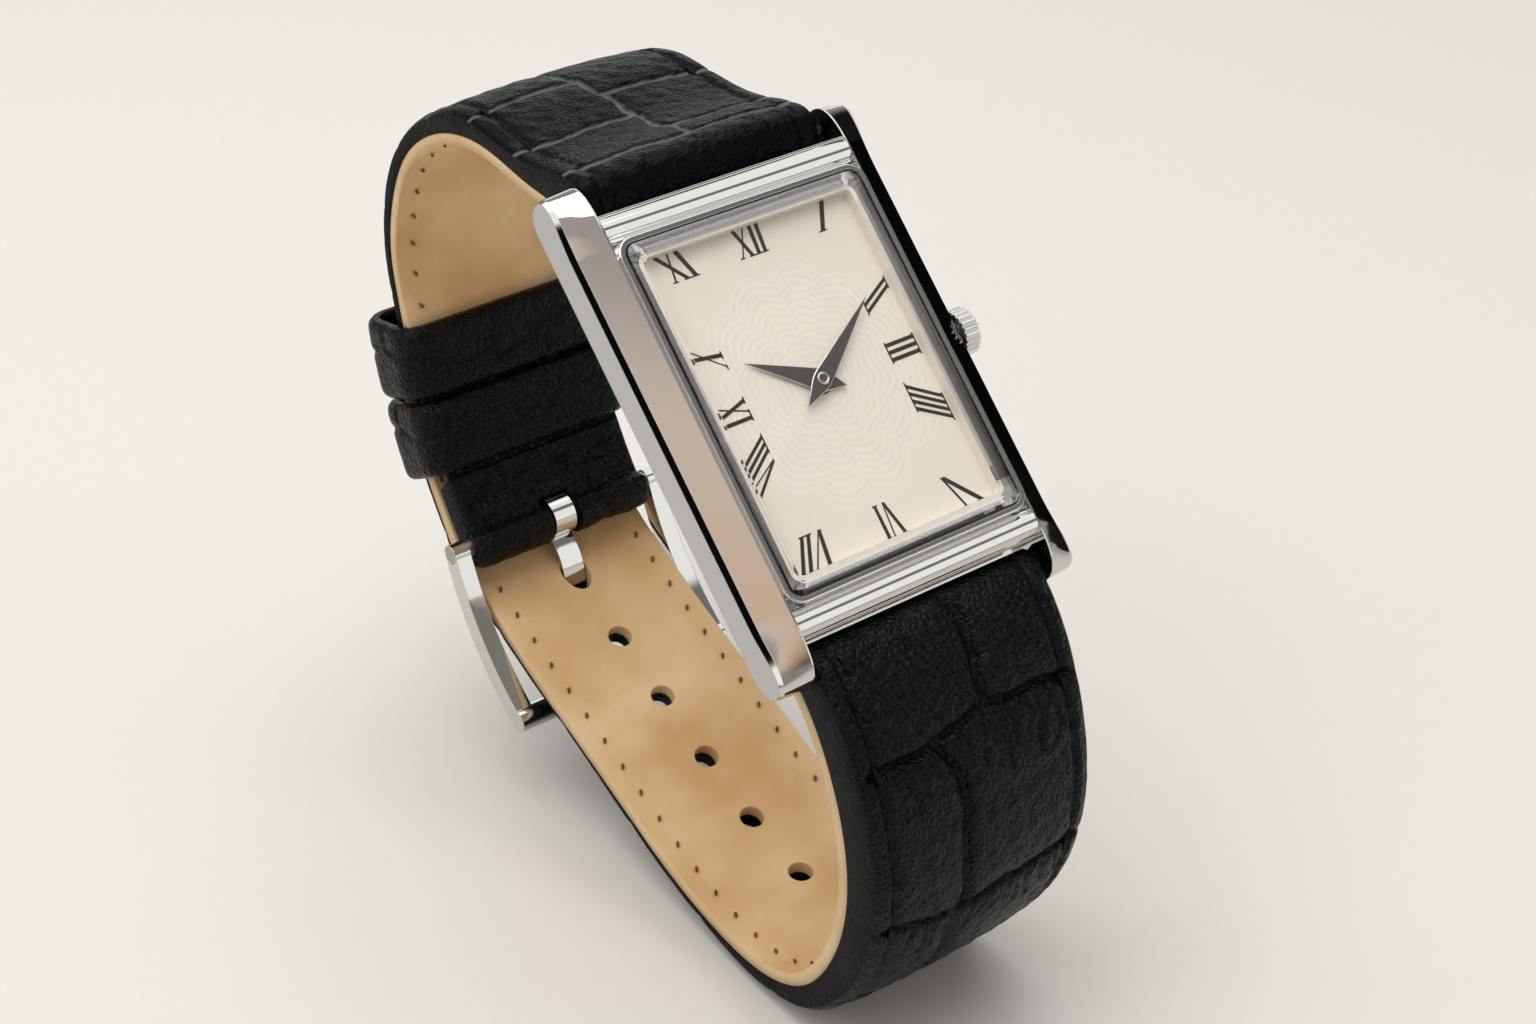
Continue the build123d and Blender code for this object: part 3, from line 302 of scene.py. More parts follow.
@dataclass(frozen=True)
class PolishedSteel(Finish):
    """Stainless steel, mirror polished on its front and satin on its outer side faces."""

    name: str = "polished stainless steel"
    colour: str = "#CFCDC9"
    roughness: float = 0.055
    satin_colour: str = "#C2C2C4"
    satin_roughness: float = 0.42
    satin_beyond_mm: float = 0.0
    satin_blend_mm: float = 0.02
    smudge_mm: float = 6.0
    haze_span: Point = (0.7, 1.6)
    edge_round_mm: float = 0.06

    def build(self) -> bpy.types.Material:
        """Makes the material.

        Polishing leaves a mirror that shows the room, with faint uneven haze from handling,
        and rounds every edge a little so that it shines as a thin line, while the lapped
        side faces scatter the light and look plain grey.

        Returns:
            The material.
        """
        material, tree, shader = self.start()
        shader.inputs["Metallic"].default_value = 1.0
        coordinates = add_node(tree, "ShaderNodeTexCoord")
        haze = add_node(tree, "ShaderNodeTexNoise", {"Scale": 1 / (self.smudge_mm * MM), "Detail": 3.0},
                        {"Vector": coordinates.outputs["Object"]})
        clear, hazy = (self.roughness * share for share in self.haze_span)
        rough = add_node(tree, "ShaderNodeMapRange", {"To Min": clear, "To Max": hazy},
                         {"Value": haze.outputs["Fac"]}).outputs["Result"]
        shader.inputs["Base Color"].default_value = linear(self.colour)
        if self.satin_beyond_mm:
            place = add_node(tree, "ShaderNodeSeparateXYZ", None,
                             {"Vector": coordinates.outputs["Object"]})
            side = add_node(tree, "ShaderNodeMath", {"operation": "ABSOLUTE"},
                            {0: place.outputs["X"]})
            mask = add_node(tree, "ShaderNodeMapRange",
                            {"From Min": (self.satin_beyond_mm - self.satin_blend_mm) * MM,
                             "From Max": self.satin_beyond_mm * MM},
                            {"Value": side.outputs[0]}).outputs["Result"]
            rough = add_node(tree, "ShaderNodeMix", {"data_type": "FLOAT", "B": self.satin_roughness},
                             {"Factor": mask, "A": rough}).outputs["Result"]
            tint = add_node(tree, "ShaderNodeMix",
                            {"data_type": "RGBA", 6: linear(self.colour), 7: linear(self.satin_colour)},
                            {"Factor": mask})
            tree.links.new(tint.outputs[2], shader.inputs["Base Color"])
        tree.links.new(rough, shader.inputs["Roughness"])
        worn = add_node(tree, "ShaderNodeBevel", {"samples": 6, "Radius": self.edge_round_mm * MM})
        tree.links.new(worn.outputs["Normal"], shader.inputs["Normal"])
        return material


@dataclass(frozen=True)
class BrushedMetal(Finish):
    """A plain metal with a fine directionless grain, as milled and plated parts have."""

    name: str = "satin stainless steel"
    metal: Metal = Metal.SATIN_STEEL
    roughness: float = 0.36
    sheen_span: Point = (0.8, 1.25)
    grain_mm: float = 0.25
    grain_depth_mm: float = 0.004
    grain_shade: float = 0.88

    def build(self) -> bpy.types.Material:
        """Makes the material: a soft sheen with a little unevenness from the cutter.

        Returns:
            The material.
        """
        base = linear(self.metal.value)
        material, tree, shader, grain = self.mottle(self.grain_mm, scaled(base, self.grain_shade), base,
                                                    self.grain_depth_mm)
        shader.inputs["Metallic"].default_value = 1.0
        smooth, rough = (self.roughness * share for share in self.sheen_span)
        sheen = add_node(tree, "ShaderNodeMapRange", {"To Min": smooth, "To Max": rough}, {"Value": grain})
        tree.links.new(sheen.outputs["Result"], shader.inputs["Roughness"])
        return material


@dataclass(frozen=True)
class MouldedPlastic(Finish):
    """Moulded plastic or rubber with a faint surface unevenness."""

    name: str = "moulded nylon"
    colour: str = "#BDBCB6"
    roughness: float = 0.5
    grain_mm: float = 0.4
    grain_depth_mm: float = 0.006
    grain_shade: float = 0.85

    def build(self) -> bpy.types.Material:
        """Makes the material: an even matt skin that breaks up highlights a little.

        Returns:
            The material.
        """
        base = linear(self.colour)
        material, _, shader, _ = self.mottle(self.grain_mm, scaled(base, self.grain_shade), base,
                                             self.grain_depth_mm)
        shader.inputs["Roughness"].default_value = self.roughness
        return material


@dataclass(frozen=True)
class IvoryLacquer(Finish):
    """A brass dial, engraved on a rose engine and covered with ivory lacquer."""

    name: str = "ivory lacquer over engraved waves"
    colour: str = "#E8E1D6"
    # Paler colour on the engraving's crests: a painted highlight.
    crest_highlight_colour: str = "#EDE7DD"
    roughness: float = 0.42
    coat: float = 0.25
    coat_roughness: float = 0.25
    ring_pitch_mm: float = 0.5
    lobes: float = 12.0
    lobe_share: float = 0.1
    pattern_radius_mm: float = 8.6
    pattern_fade_mm: float = 1.4
    cut_depth_mm: float = 0.03
    cut_strength: float = 0.17

    def build(self) -> bpy.types.Material:
        """Makes the material.

        The rose engine cuts one scalloped ring after another about the centre, which catches
        the light as faint pale waves, and the lacquer rounds them off. A paler colour on the
        crests is a painted highlight for that light.

        Returns:
            The material.
        """
        material, tree, shader = self.start()
        shader.inputs["Roughness"].default_value = self.roughness
        shader.inputs["Coat Weight"].default_value = self.coat
        shader.inputs["Coat Roughness"].default_value = self.coat_roughness
        coordinates = add_node(tree, "ShaderNodeTexCoord")
        lean = math.radians(-DIAL.lean_deg)
        flat = add_node(tree, "ShaderNodeMapping",
                        {"Rotation": (lean, 0.0, 0.0), "Scale": (1 / MM, 1 / MM, 1 / MM)},
                        {"Vector": coordinates.outputs["Object"]})
        split = add_node(tree, "ShaderNodeSeparateXYZ", None, {"Vector": flat.outputs["Vector"]})
        across = split.outputs["X"]
        along = add_node(tree, "ShaderNodeMath", {"operation": "ADD", 1: DIAL.centre_y},
                         {0: split.outputs["Y"]}).outputs[0]
        square_x = add_node(tree, "ShaderNodeMath", {"operation": "MULTIPLY"}, {0: across, 1: across})
        square_y = add_node(tree, "ShaderNodeMath", {"operation": "MULTIPLY"}, {0: along, 1: along})
        total = add_node(tree, "ShaderNodeMath", {"operation": "ADD"},
                         {0: square_x.outputs[0], 1: square_y.outputs[0]})
        radius = add_node(tree, "ShaderNodeMath", {"operation": "SQRT"}, {0: total.outputs[0]})
        angle = add_node(tree, "ShaderNodeMath", {"operation": "ARCTAN2"}, {0: along, 1: across})
        turn = add_node(tree, "ShaderNodeMath", {"operation": "MULTIPLY", 1: self.lobes / 2},
                        {0: angle.outputs[0]})
        wave = add_node(tree, "ShaderNodeMath", {"operation": "SINE"}, {0: turn.outputs[0]})
        scallop = add_node(tree, "ShaderNodeMath", {"operation": "ABSOLUTE"}, {0: wave.outputs[0]})
        lobe = add_node(tree, "ShaderNodeMath",
                        {"operation": "MULTIPLY_ADD", 1: -self.lobe_share, 2: 1.0},
                        {0: scallop.outputs[0]})
        bent = add_node(tree, "ShaderNodeMath", {"operation": "MULTIPLY"},
                        {0: radius.outputs[0], 1: lobe.outputs[0]})
        phase = add_node(tree, "ShaderNodeMath",
                         {"operation": "MULTIPLY", 1: 2 * math.pi / self.ring_pitch_mm},
                         {0: bent.outputs[0]})
        ring = add_node(tree, "ShaderNodeMath", {"operation": "COSINE"}, {0: phase.outputs[0]})
        height = add_node(tree, "ShaderNodeMapRange", {"From Min": -1.0, "From Max": 1.0},
                          {"Value": ring.outputs[0]})
        fade = add_node(tree, "ShaderNodeMapRange",
                        {"From Min": self.pattern_radius_mm,
                         "From Max": self.pattern_radius_mm - self.pattern_fade_mm},
                        {"Value": bent.outputs[0]})
        shown = add_node(tree, "ShaderNodeMath", {"operation": "MULTIPLY"},
                         {0: height.outputs["Result"], 1: fade.outputs["Result"]})
        # The crests get the paler colour, a painted highlight for the light they catch.
        tone = add_node(tree, "ShaderNodeValToRGB", None, {"Fac": shown.outputs[0]})
        tone.color_ramp.elements[0].color = linear(self.colour)
        tone.color_ramp.elements[1].color = linear(self.crest_highlight_colour)
        relief = add_node(tree, "ShaderNodeBump",
                          {"Strength": self.cut_strength, "Distance": self.cut_depth_mm * MM},
                          {"Height": shown.outputs[0]})
        tree.links.new(tone.outputs["Color"], shader.inputs["Base Color"])
        tree.links.new(relief.outputs["Normal"], shader.inputs["Normal"])
        return material


@dataclass(frozen=True)
class PrintedInk(Finish):
    """Black pad-printed ink: a thin, slightly shiny film."""

    name: str = "black pad-printed ink"
    colour: str = "#110E0C"
    roughness: float = 0.35
    speckle_mm: float = 0.12
    speckle_gain: float = 1.8

    def build(self) -> bpy.types.Material:
        """Makes the material: near black with a fine speckle, as a print has.

        Returns:
            The material.
        """
        base = linear(self.colour)
        material, _, shader, _ = self.mottle(self.speckle_mm, base, scaled(base, self.speckle_gain))
        shader.inputs["Roughness"].default_value = self.roughness
        return material


@dataclass(frozen=True)
class MineralGlass(Finish):
    """Mineral glass, ground flat and polished: clear, with a crisp reflection."""

    name: str = "polished mineral glass"
    colour: str = "#FCFCFC"
    shadow_colour: str = "#F6F6F6"
    ior: float = 1.5

    def build(self) -> bpy.types.Material:
        """Makes the material: light passes through, and shadow rays pass it by.

        Returns:
            The material.
        """
        material, tree, shader = self.start()
        shader.inputs["Base Color"].default_value = linear(self.colour)
        shader.inputs["Roughness"].default_value = 0.0
        shader.inputs["IOR"].default_value = self.ior
        shader.inputs["Transmission Weight"].default_value = 1.0
        ray = add_node(tree, "ShaderNodeLightPath")
        clear = add_node(tree, "ShaderNodeBsdfTransparent", {"Color": linear(self.shadow_colour)})
        mixed = add_node(tree, "ShaderNodeMixShader", None,
                         {0: ray.outputs["Is Shadow Ray"], 1: shader.outputs["BSDF"],
                          2: clear.outputs["BSDF"]})
        tree.links.new(mixed.outputs["Shader"], tree.nodes["Material Output"].inputs["Surface"])
        return material


@dataclass(frozen=True)
class CalfLeather(Finish):
    """Calf leather: drum dyed, with its pores and fine creases."""

    name: str = "embossed black calf leather"
    colour: str = "#060608"
    worn_colour: str = "#0E0E10"
    crease_colour: str = "#060608"
    roughness: float = 0.31
    specular: float = 0.13
    pore_mm: float = 0.5
    pore_edge: float = 0.28
    pore_share: float = 0.65
    pore_depth_mm: float = 0.13
    relief_strength: float = 0.8
    warp_mm: float = 2.2
    warp_share: float = 0.0006
    crease_mm: float = 0.9
    furrow_mm: float = 2.6
    furrow_share: float = 1.6
    sheen_span: Point = (0.85, 1.25)
    blotch_mm: float = 7.0
    blotch_span: Point = (0.35, 0.75)

    def build(self) -> bpy.types.Material:
        """Makes the material.

        The pores and creases of the skin break the sheen into small glints, the dye is
        patchy, and it takes the crease colour where the pattern is pressed deepest.

        Returns:
            The material.
        """
        material, tree, shader = self.start()
        place = add_node(tree, "ShaderNodeTexCoord").outputs["Object"]
        warp = add_node(tree, "ShaderNodeTexNoise", {"Scale": 1 / (self.warp_mm * MM), "Detail": 3.0},
                        {"Vector": place})
        pulled = add_node(tree, "ShaderNodeMix", {"data_type": "VECTOR", "Factor": self.warp_share},
                          {4: place, 5: warp.outputs["Color"]})
        pores = add_node(tree, "ShaderNodeTexVoronoi",
                         {"feature": "DISTANCE_TO_EDGE", "Scale": 1 / (self.pore_mm * MM)},
                         {"Vector": pulled.outputs[1]})
        pore = add_node(tree, "ShaderNodeMapRange", {"From Max": self.pore_edge},
                        {"Value": pores.outputs["Distance"]})
        crease = add_node(tree, "ShaderNodeTexNoise",
                          {"Scale": 1 / (self.crease_mm * MM), "Detail": 4.0, "Roughness": 0.65},
                          {"Vector": place})
        furrow = add_node(tree, "ShaderNodeTexNoise",
                          {"Scale": 1 / (self.furrow_mm * MM), "Detail": 5.0, "Roughness": 0.6,
                           "Distortion": 1.2}, {"Vector": place})
        folds = add_node(tree, "ShaderNodeMath", {"operation": "MULTIPLY_ADD", 1: self.furrow_share},
                         {0: furrow.outputs["Fac"], 2: crease.outputs["Fac"]})
        height = add_node(tree, "ShaderNodeMath", {"operation": "MULTIPLY_ADD", 1: self.pore_share},
                          {0: pore.outputs["Result"], 2: folds.outputs[0]})
        blotch = add_node(tree, "ShaderNodeTexNoise", {"Scale": 1 / (self.blotch_mm * MM), "Detail": 4.0},
                          {"Vector": place})
        tone = add_node(tree, "ShaderNodeValToRGB", None, {"Fac": blotch.outputs["Fac"]})
        for stop, position, colour in zip(tone.color_ramp.elements, self.blotch_span,
                                          (self.colour, self.worn_colour)):
            stop.position, stop.color = position, linear(colour)
        smooth, rough = (self.roughness * share for share in self.sheen_span)
        sheen = add_node(tree, "ShaderNodeMapRange", {"To Min": smooth, "To Max": rough},
                         {"Value": crease.outputs["Fac"]})
        pressed = add_node(tree, "ShaderNodeAttribute", {"attribute_name": "pressed"})
        mixed = add_node(tree, "ShaderNodeMix", {"data_type": "RGBA", 7: linear(self.crease_colour)},
                         {"Factor": pressed.outputs["Fac"], 6: tone.outputs["Color"]})
        relief = add_node(tree, "ShaderNodeBump",
                          {"Strength": self.relief_strength, "Distance": self.pore_depth_mm * MM},
                          {"Height": height.outputs[0]})
        tree.links.new(mixed.outputs[2], shader.inputs["Base Color"])
        tree.links.new(sheen.outputs["Result"], shader.inputs["Roughness"])
        tree.links.new(relief.outputs["Normal"], shader.inputs["Normal"])
        shader.inputs["Specular IOR Level"].default_value = self.specular
        return material


@dataclass(frozen=True)
class StudioPaper(Finish):
    """Matt paper on the studio's floor."""

    name: str = "matt studio paper"
    colour: str = "#E4E2DE"
    roughness: float = 0.9
    fibre_mm: float = 10 / 9
    fibre_shade: float = 0.97

    def build(self) -> bpy.types.Material:
        """Makes the material: a pale even ground whose fibres hardly show.

        Returns:
            The material.
        """
        base = linear(self.colour)
        material, _, shader, _ = self.mottle(self.fibre_mm, scaled(base, self.fibre_shade), base,
                                             detail=3.0)
        shader.inputs["Roughness"].default_value = self.roughness
        return material


@dataclass(frozen=True)
class StudioVelvet(Finish):
    """Black velvet on a board."""

    name: str = "black studio velvet"
    colour: str = "#0A0A0A"

    def build(self) -> bpy.types.Material:
        """Makes the material: its pile swallows the light and mirrors nothing.

        Returns:
            The material.
        """
        material, _, shader = self.start()
        shader.inputs["Base Color"].default_value = linear(self.colour)
        shader.inputs["Roughness"].default_value = 1.0
        shader.inputs["Specular IOR Level"].default_value = 0.0
        return material


@dataclass
class Finishes:
    """Every material of the watch, made once."""

    made: dict[str, bpy.types.Material] = field(default_factory=dict)

    def build(self) -> None:
        """Makes all materials."""
        finishes = {
            # Mirror polish, which shows the room in the crown and the buckle.
            "steel": PolishedSteel(),
            # The same on the case's front, with plain grey side faces.
            "case_steel": PolishedSteel(name="polished and side-lapped stainless steel",
                                        satin_beyond_mm=12.49),
            # Soft grey sheen of machined inner faces.
            "satin_steel": BrushedMetal(),
            # Pale warm plates under the dial.
            "plated_brass": BrushedMetal(name="plated brass", metal=Metal.PLATED_BRASS),
            # Yellow wheels, shinier than the plates.
            "bare_brass": BrushedMetal(name="milled brass", metal=Metal.BARE_BRASS, roughness=0.3),
            # Darker grey of turned pins and pinions.
            "plain_steel": BrushedMetal(name="turned steel", metal=Metal.PLAIN_STEEL),
            # Reddish coil, its grain as fine as the wire.
            "copper": BrushedMetal(name="enamelled copper wire", metal=Metal.COPPER, grain_mm=0.08),
            # Smooth warm grey of cell and can.
            "nickel": BrushedMetal(name="nickel-plated steel", metal=Metal.NICKEL, roughness=0.28),
            # Off-white ring that holds the movement.
            "holder": MouldedPlastic(),
            # Matt black line round the crystal.
            "gasket": MouldedPlastic(name="moulded black polyamide", colour="#121212", roughness=0.55),
            # Dull black seals.
            "rubber": MouldedPlastic(name="moulded nitrile rubber", colour="#1B1B1B", roughness=0.7),
            # Dark green circuit board.
            "board": MouldedPlastic(name="glass-epoxy board", colour="#1E4F36"),
            # Ivory lacquer, with a painted highlight on the engraving's crests.
            "dial": IvoryLacquer(),
            # Cream slope round the dial, a little smoother than the dial.
            "flange": MouldedPlastic(name="painted brass ring", colour="#EFE8DF", roughness=0.4),
            "ink": PrintedInk(),
            "glass": MineralGlass(),
            # Flat tops of the hands: polished metal painted dark grey, a painted reflection of dark
            # surroundings, with a faint shimmer.
            "hand_top_painted_dark": PrintedInk(name="polished hand top with painted dark reflection", colour="#3A3735", roughness=0.3),
            # Bright bevels round the hands, less crisp than the case.
            "hand_edge": PolishedSteel(name="polished plated brass", roughness=0.12),
            "leather": CalfLeather(),
            # The same with pale grey lines painted into the scales' deepest creases, pale enough to lift
            # the shade that falls in them.
            "pale_crease_leather": CalfLeather(name="embossed black calf leather with pale crease lines",
                                          crease_colour="#5C5C60", specular=0.06, pore_depth_mm=0.07),
            # Duller, slightly lighter black of the dyed edge.
            "leather_edge": CalfLeather(name="cut and dyed leather edge", colour="#0B0B0C",
                                        worn_colour="#161618", roughness=0.6),
            # Warm tan with soft patches, nearly smooth.
            "lining": CalfLeather(name="tan vegetable-tanned calf lining", colour="#CDA675",
                                  worn_colour="#EACFA6", roughness=0.62, pore_mm=0.3,
                                  pore_depth_mm=0.015, blotch_mm=9.0),
            # Pale fibrous line along the lining.
            "lining_edge": CalfLeather(name="cut edge of the tan lining", colour="#D4B48A",
                                       worn_colour="#E4CBA6", roughness=0.75, pore_mm=0.2,
                                       pore_depth_mm=0.03),
            # Black thread with a waxy glint.
            "thread": CalfLeather(name="waxed black polyester thread", colour="#0B0B0D",
                                  worn_colour="#19191C", roughness=0.5, pore_mm=0.12),
            # Brown thread that stands out from the tan lining.
            "lining_thread": CalfLeather(name="waxed tan polyester thread", colour="#7A5636",
                                         worn_colour="#94704A", roughness=0.55, pore_mm=0.12),
        }
        self.made = {key: finish.build() for key, finish in finishes.items()}
        LOG.info("materials: %d", len(self.made))

    def get(self, name: str) -> bpy.types.Material:
        """Gives a material by its key."""
        return self.made[name]


@dataclass
class CarriedNodes:
    """The CAD nodes that stay as they are and only get their materials."""

    finishes: Finishes
    dress: dict[str, str] = field(default_factory=lambda: {
        "case": "case_steel", "case_back": "satin_steel", "crown": "steel",
        "crown_tube": "satin_steel", "back_seal": "rubber", "crystal_gasket": "gasket",
        "crown_seal": "rubber", "crystal": "glass", "dial": "dial", "dial_flange": "flange",
        "movement_holder": "holder", "main_plate": "plated_brass", "train_bridge": "plated_brass",
        "centre_wheel": "bare_brass", "cannon_pinion": "plain_steel",
        "minute_wheel": "bare_brass", "hour_wheel": "bare_brass", "third_wheel": "bare_brass",
        "fifth_wheel": "bare_brass", "rotor": "plain_steel", "stator": "plain_steel",
        "coil": "copper", "battery": "nickel", "circuit_block": "board", "quartz_can": "nickel",
        "stem": "plain_steel", "setting_lever": "plain_steel", "buckle_frame": "steel",
        "buckle_pin": "satin_steel", "buckle_tongue": "steel"})

    def build(self, nodes: dict[str, bpy.types.Object]) -> None:
        """Gives each node its material.

        Args:
            nodes: the frame's CAD nodes by name.
        """
        for name, node in nodes.items():
            key = self.dress.get(name, "satin_steel")
            node.data.materials.clear()
            node.data.materials.append(self.finishes.get(key))
        LOG.info("carried nodes dressed: %d", len(nodes))


# Dial

class Edge(Enum):
    """The dial's edge that a numeral stands at.

    Each value holds the axis that the numeral's height runs along, and where its foot and its
    head are on that axis, in millimetres.
    """

    TOP = ("y", 9.4, 11.6)
    RIGHT = ("x", 5.85, 8.35)
    BOTTOM = ("y", -9.0, -11.45)
    LEFT = ("x", -5.85, -8.35)


@dataclass(frozen=True)
class Numeral:
    """One numeral: its letters, its edge, and the spans that its foot and head take up.

    A span runs from where the numeral starts to read to where it ends, in millimetres.
    """

    text: str
    edge: Edge
    foot: Point
    head: Point

    def place(self, across: float, up: float) -> Point:
        """Gives the dial's point for a point of the numeral.

        Args:
            across: from 0 where it starts to 1 where it ends.
            up: from 0 at its foot to 1 at its head.

        Returns:
            The point's x and y on the dial.
        """
        axis, foot, head = self.edge.value
        low = self.foot[0] + (self.foot[1] - self.foot[0]) * across
        high = self.head[0] + (self.head[1] - self.head[0]) * across
        along, away = low + (high - low) * up, foot + (head - foot) * up
        return (along, away) if axis == "y" else (away, along)


@dataclass
class DialPrint:
    """The printed Roman numerals, which stand round the dial with their feet to the centre.

    The film starts a little above the dial, and each stroke lies a step above the one before,
    so that no two faces share a place where strokes cross.
    """

    finishes: Finishes
    height: float = 2.35
    thick: float = 0.30
    thin: float = 0.12
    serif: float = 0.10
    serif_reach: float = 0.13
    letter_widths: dict[str, float] = field(default_factory=lambda: {"I": 0.56, "V": 1.42, "X": 1.38})
    v_foot_share: float = 0.53
    v_foot_gap: float = 0.05
    film: float = 0.02
    film_start: float = 0.002
    film_step: float = 0.0005
    numerals: tuple[Numeral, ...] = (
        Numeral("XII", Edge.TOP, (-1.30, 0.98), (-1.28, 1.26)),
        Numeral("I", Edge.TOP, (5.23, 5.88), (6.24, 6.98)),
        Numeral("II", Edge.RIGHT, (3.90, 2.90), (5.20, 4.25)),
        Numeral("III", Edge.RIGHT, (0.86, -0.73), (0.86, -0.73)),
        Numeral("IIII", Edge.RIGHT, (-2.12, -4.32), (-3.72, -5.78)),
        Numeral("V", Edge.BOTTOM, (6.25, 4.35), (7.85, 5.80)),
        Numeral("VI", Edge.BOTTOM, (0.72, -0.74), (1.05, -0.80)),
        Numeral("VII", Edge.BOTTOM, (-4.45, -6.79), (-5.21, -8.02)),
        Numeral("VIII", Edge.LEFT, (-4.34, -1.75), (-6.25, -3.40)),
        Numeral("IX", Edge.LEFT, (-0.85, 0.90), (-0.85, 0.90)),
        Numeral("X", Edge.LEFT, (2.85, 4.18), (4.00, 5.26)),
        Numeral("XI", Edge.TOP, (-6.76, -4.60), (-7.72, -5.33)))

    def stroke(self, start: Point, end: Point, width: float) -> list[Point]:
        """Draws one straight stroke, whose ends stay level.

        Args:
            start: the middle of its foot.
            end: the middle of its head.
            width: how wide it is.

        Returns:
            Its four corners.
        """
        half = width / 2
        return [(start[0] - half, start[1]), (start[0] + half, start[1]),
                (end[0] + half, end[1]), (end[0] - half, end[1])]

    def letter(self, kind: str, left: float) -> list[list[Point]]:
        """Draws one letter from its strokes and serifs.

        Args:
            kind: I, V or X.
            left: where its room starts, in millimetres.

        Returns:
            Its outlines, each a list of corners in millimetres.
        """
        width, top = self.letter_widths[kind], self.height
        near, far = left + self.serif_reach, left + width - self.serif_reach
        if kind == "I":
            strokes = [((left + width / 2, 0.0), (left + width / 2, top), self.thick)]
        elif kind == "V":
            foot = left + width * self.v_foot_share
            strokes = [((foot, 0.0), (near + self.thick / 2, top), self.thick),
                       ((foot + self.v_foot_gap, 0.0), (far - self.thin / 2, top), self.thin)]
        else:
            strokes = [((far - self.thick / 2, 0.0), (near + self.thick / 2, top), self.thick),
                       ((near + self.thin / 2, 0.0), (far - self.thin / 2, top), self.thin)]
        outlines = [self.stroke(*parts) for parts in strokes]
        for low, high, stroke_width in strokes:
            half = stroke_width / 2 + self.serif_reach
            if kind != "V":
                outlines.append([(low[0] - half, 0.0), (low[0] + half, 0.0),
                                 (low[0] + half, self.serif), (low[0] - half, self.serif)])
            outlines.append([(high[0] - half, top - self.serif), (high[0] + half, top - self.serif),
                             (high[0] + half, top), (high[0] - half, top)])
        return outlines

    def ink(self, shape: bmesh.types.BMesh, numeral: Numeral) -> None:
        """Prints one numeral into a mesh.

        Args:
            shape: the mesh that collects them.
            numeral: the numeral.
        """
        total = sum(self.letter_widths[kind] for kind in numeral.text)
        left, layer = 0.0, 0
        for kind in numeral.text:
            for outline in self.letter(kind, left):
                corners = [numeral.place(x / total, y / self.height) for x, y in outline]
                top = self.film + layer * self.film_step
                low = [shape.verts.new((x, y, self.film_start)) for x, y in corners]
                high = [shape.verts.new((x, y, top)) for x, y in corners]
                shape.faces.new(high)
                for k in range(4):
                    shape.faces.new((low[k], low[(k + 1) % 4], high[(k + 1) % 4], high[k]))
                layer += 1
            left += self.letter_widths[kind]

    def build(self) -> None:
        """Prints all twelve numerals as one film on the dial.

        Those at the sides keep upright ends and those above and below level ones, so each is
        sheared along the dial's edge instead of being turned with the hour.
        """
        shape = bmesh.new()
        for numeral in self.numerals:
            self.ink(shape, numeral)
        mesh = bpy.data.meshes.new("dial_numerals")
        close_up(shape, mesh)
        new_object("dial_numerals", mesh, "case", [self.finishes.get("ink")])
        LOG.info("dial_numerals: %d numerals", len(self.numerals))


@dataclass(frozen=True)
class Hand:
    """One hand: the CAD node it stands for, the body it rides on and its sizes in millimetres.

    Its angle is in degrees from three o'clock, low is its underside's height above the dial,
    and cap is the radius of the cap on it, or 0.
    """

    node: str
    body: str
    length: float
    width: float
    angle: float
    low: float
    cap: float


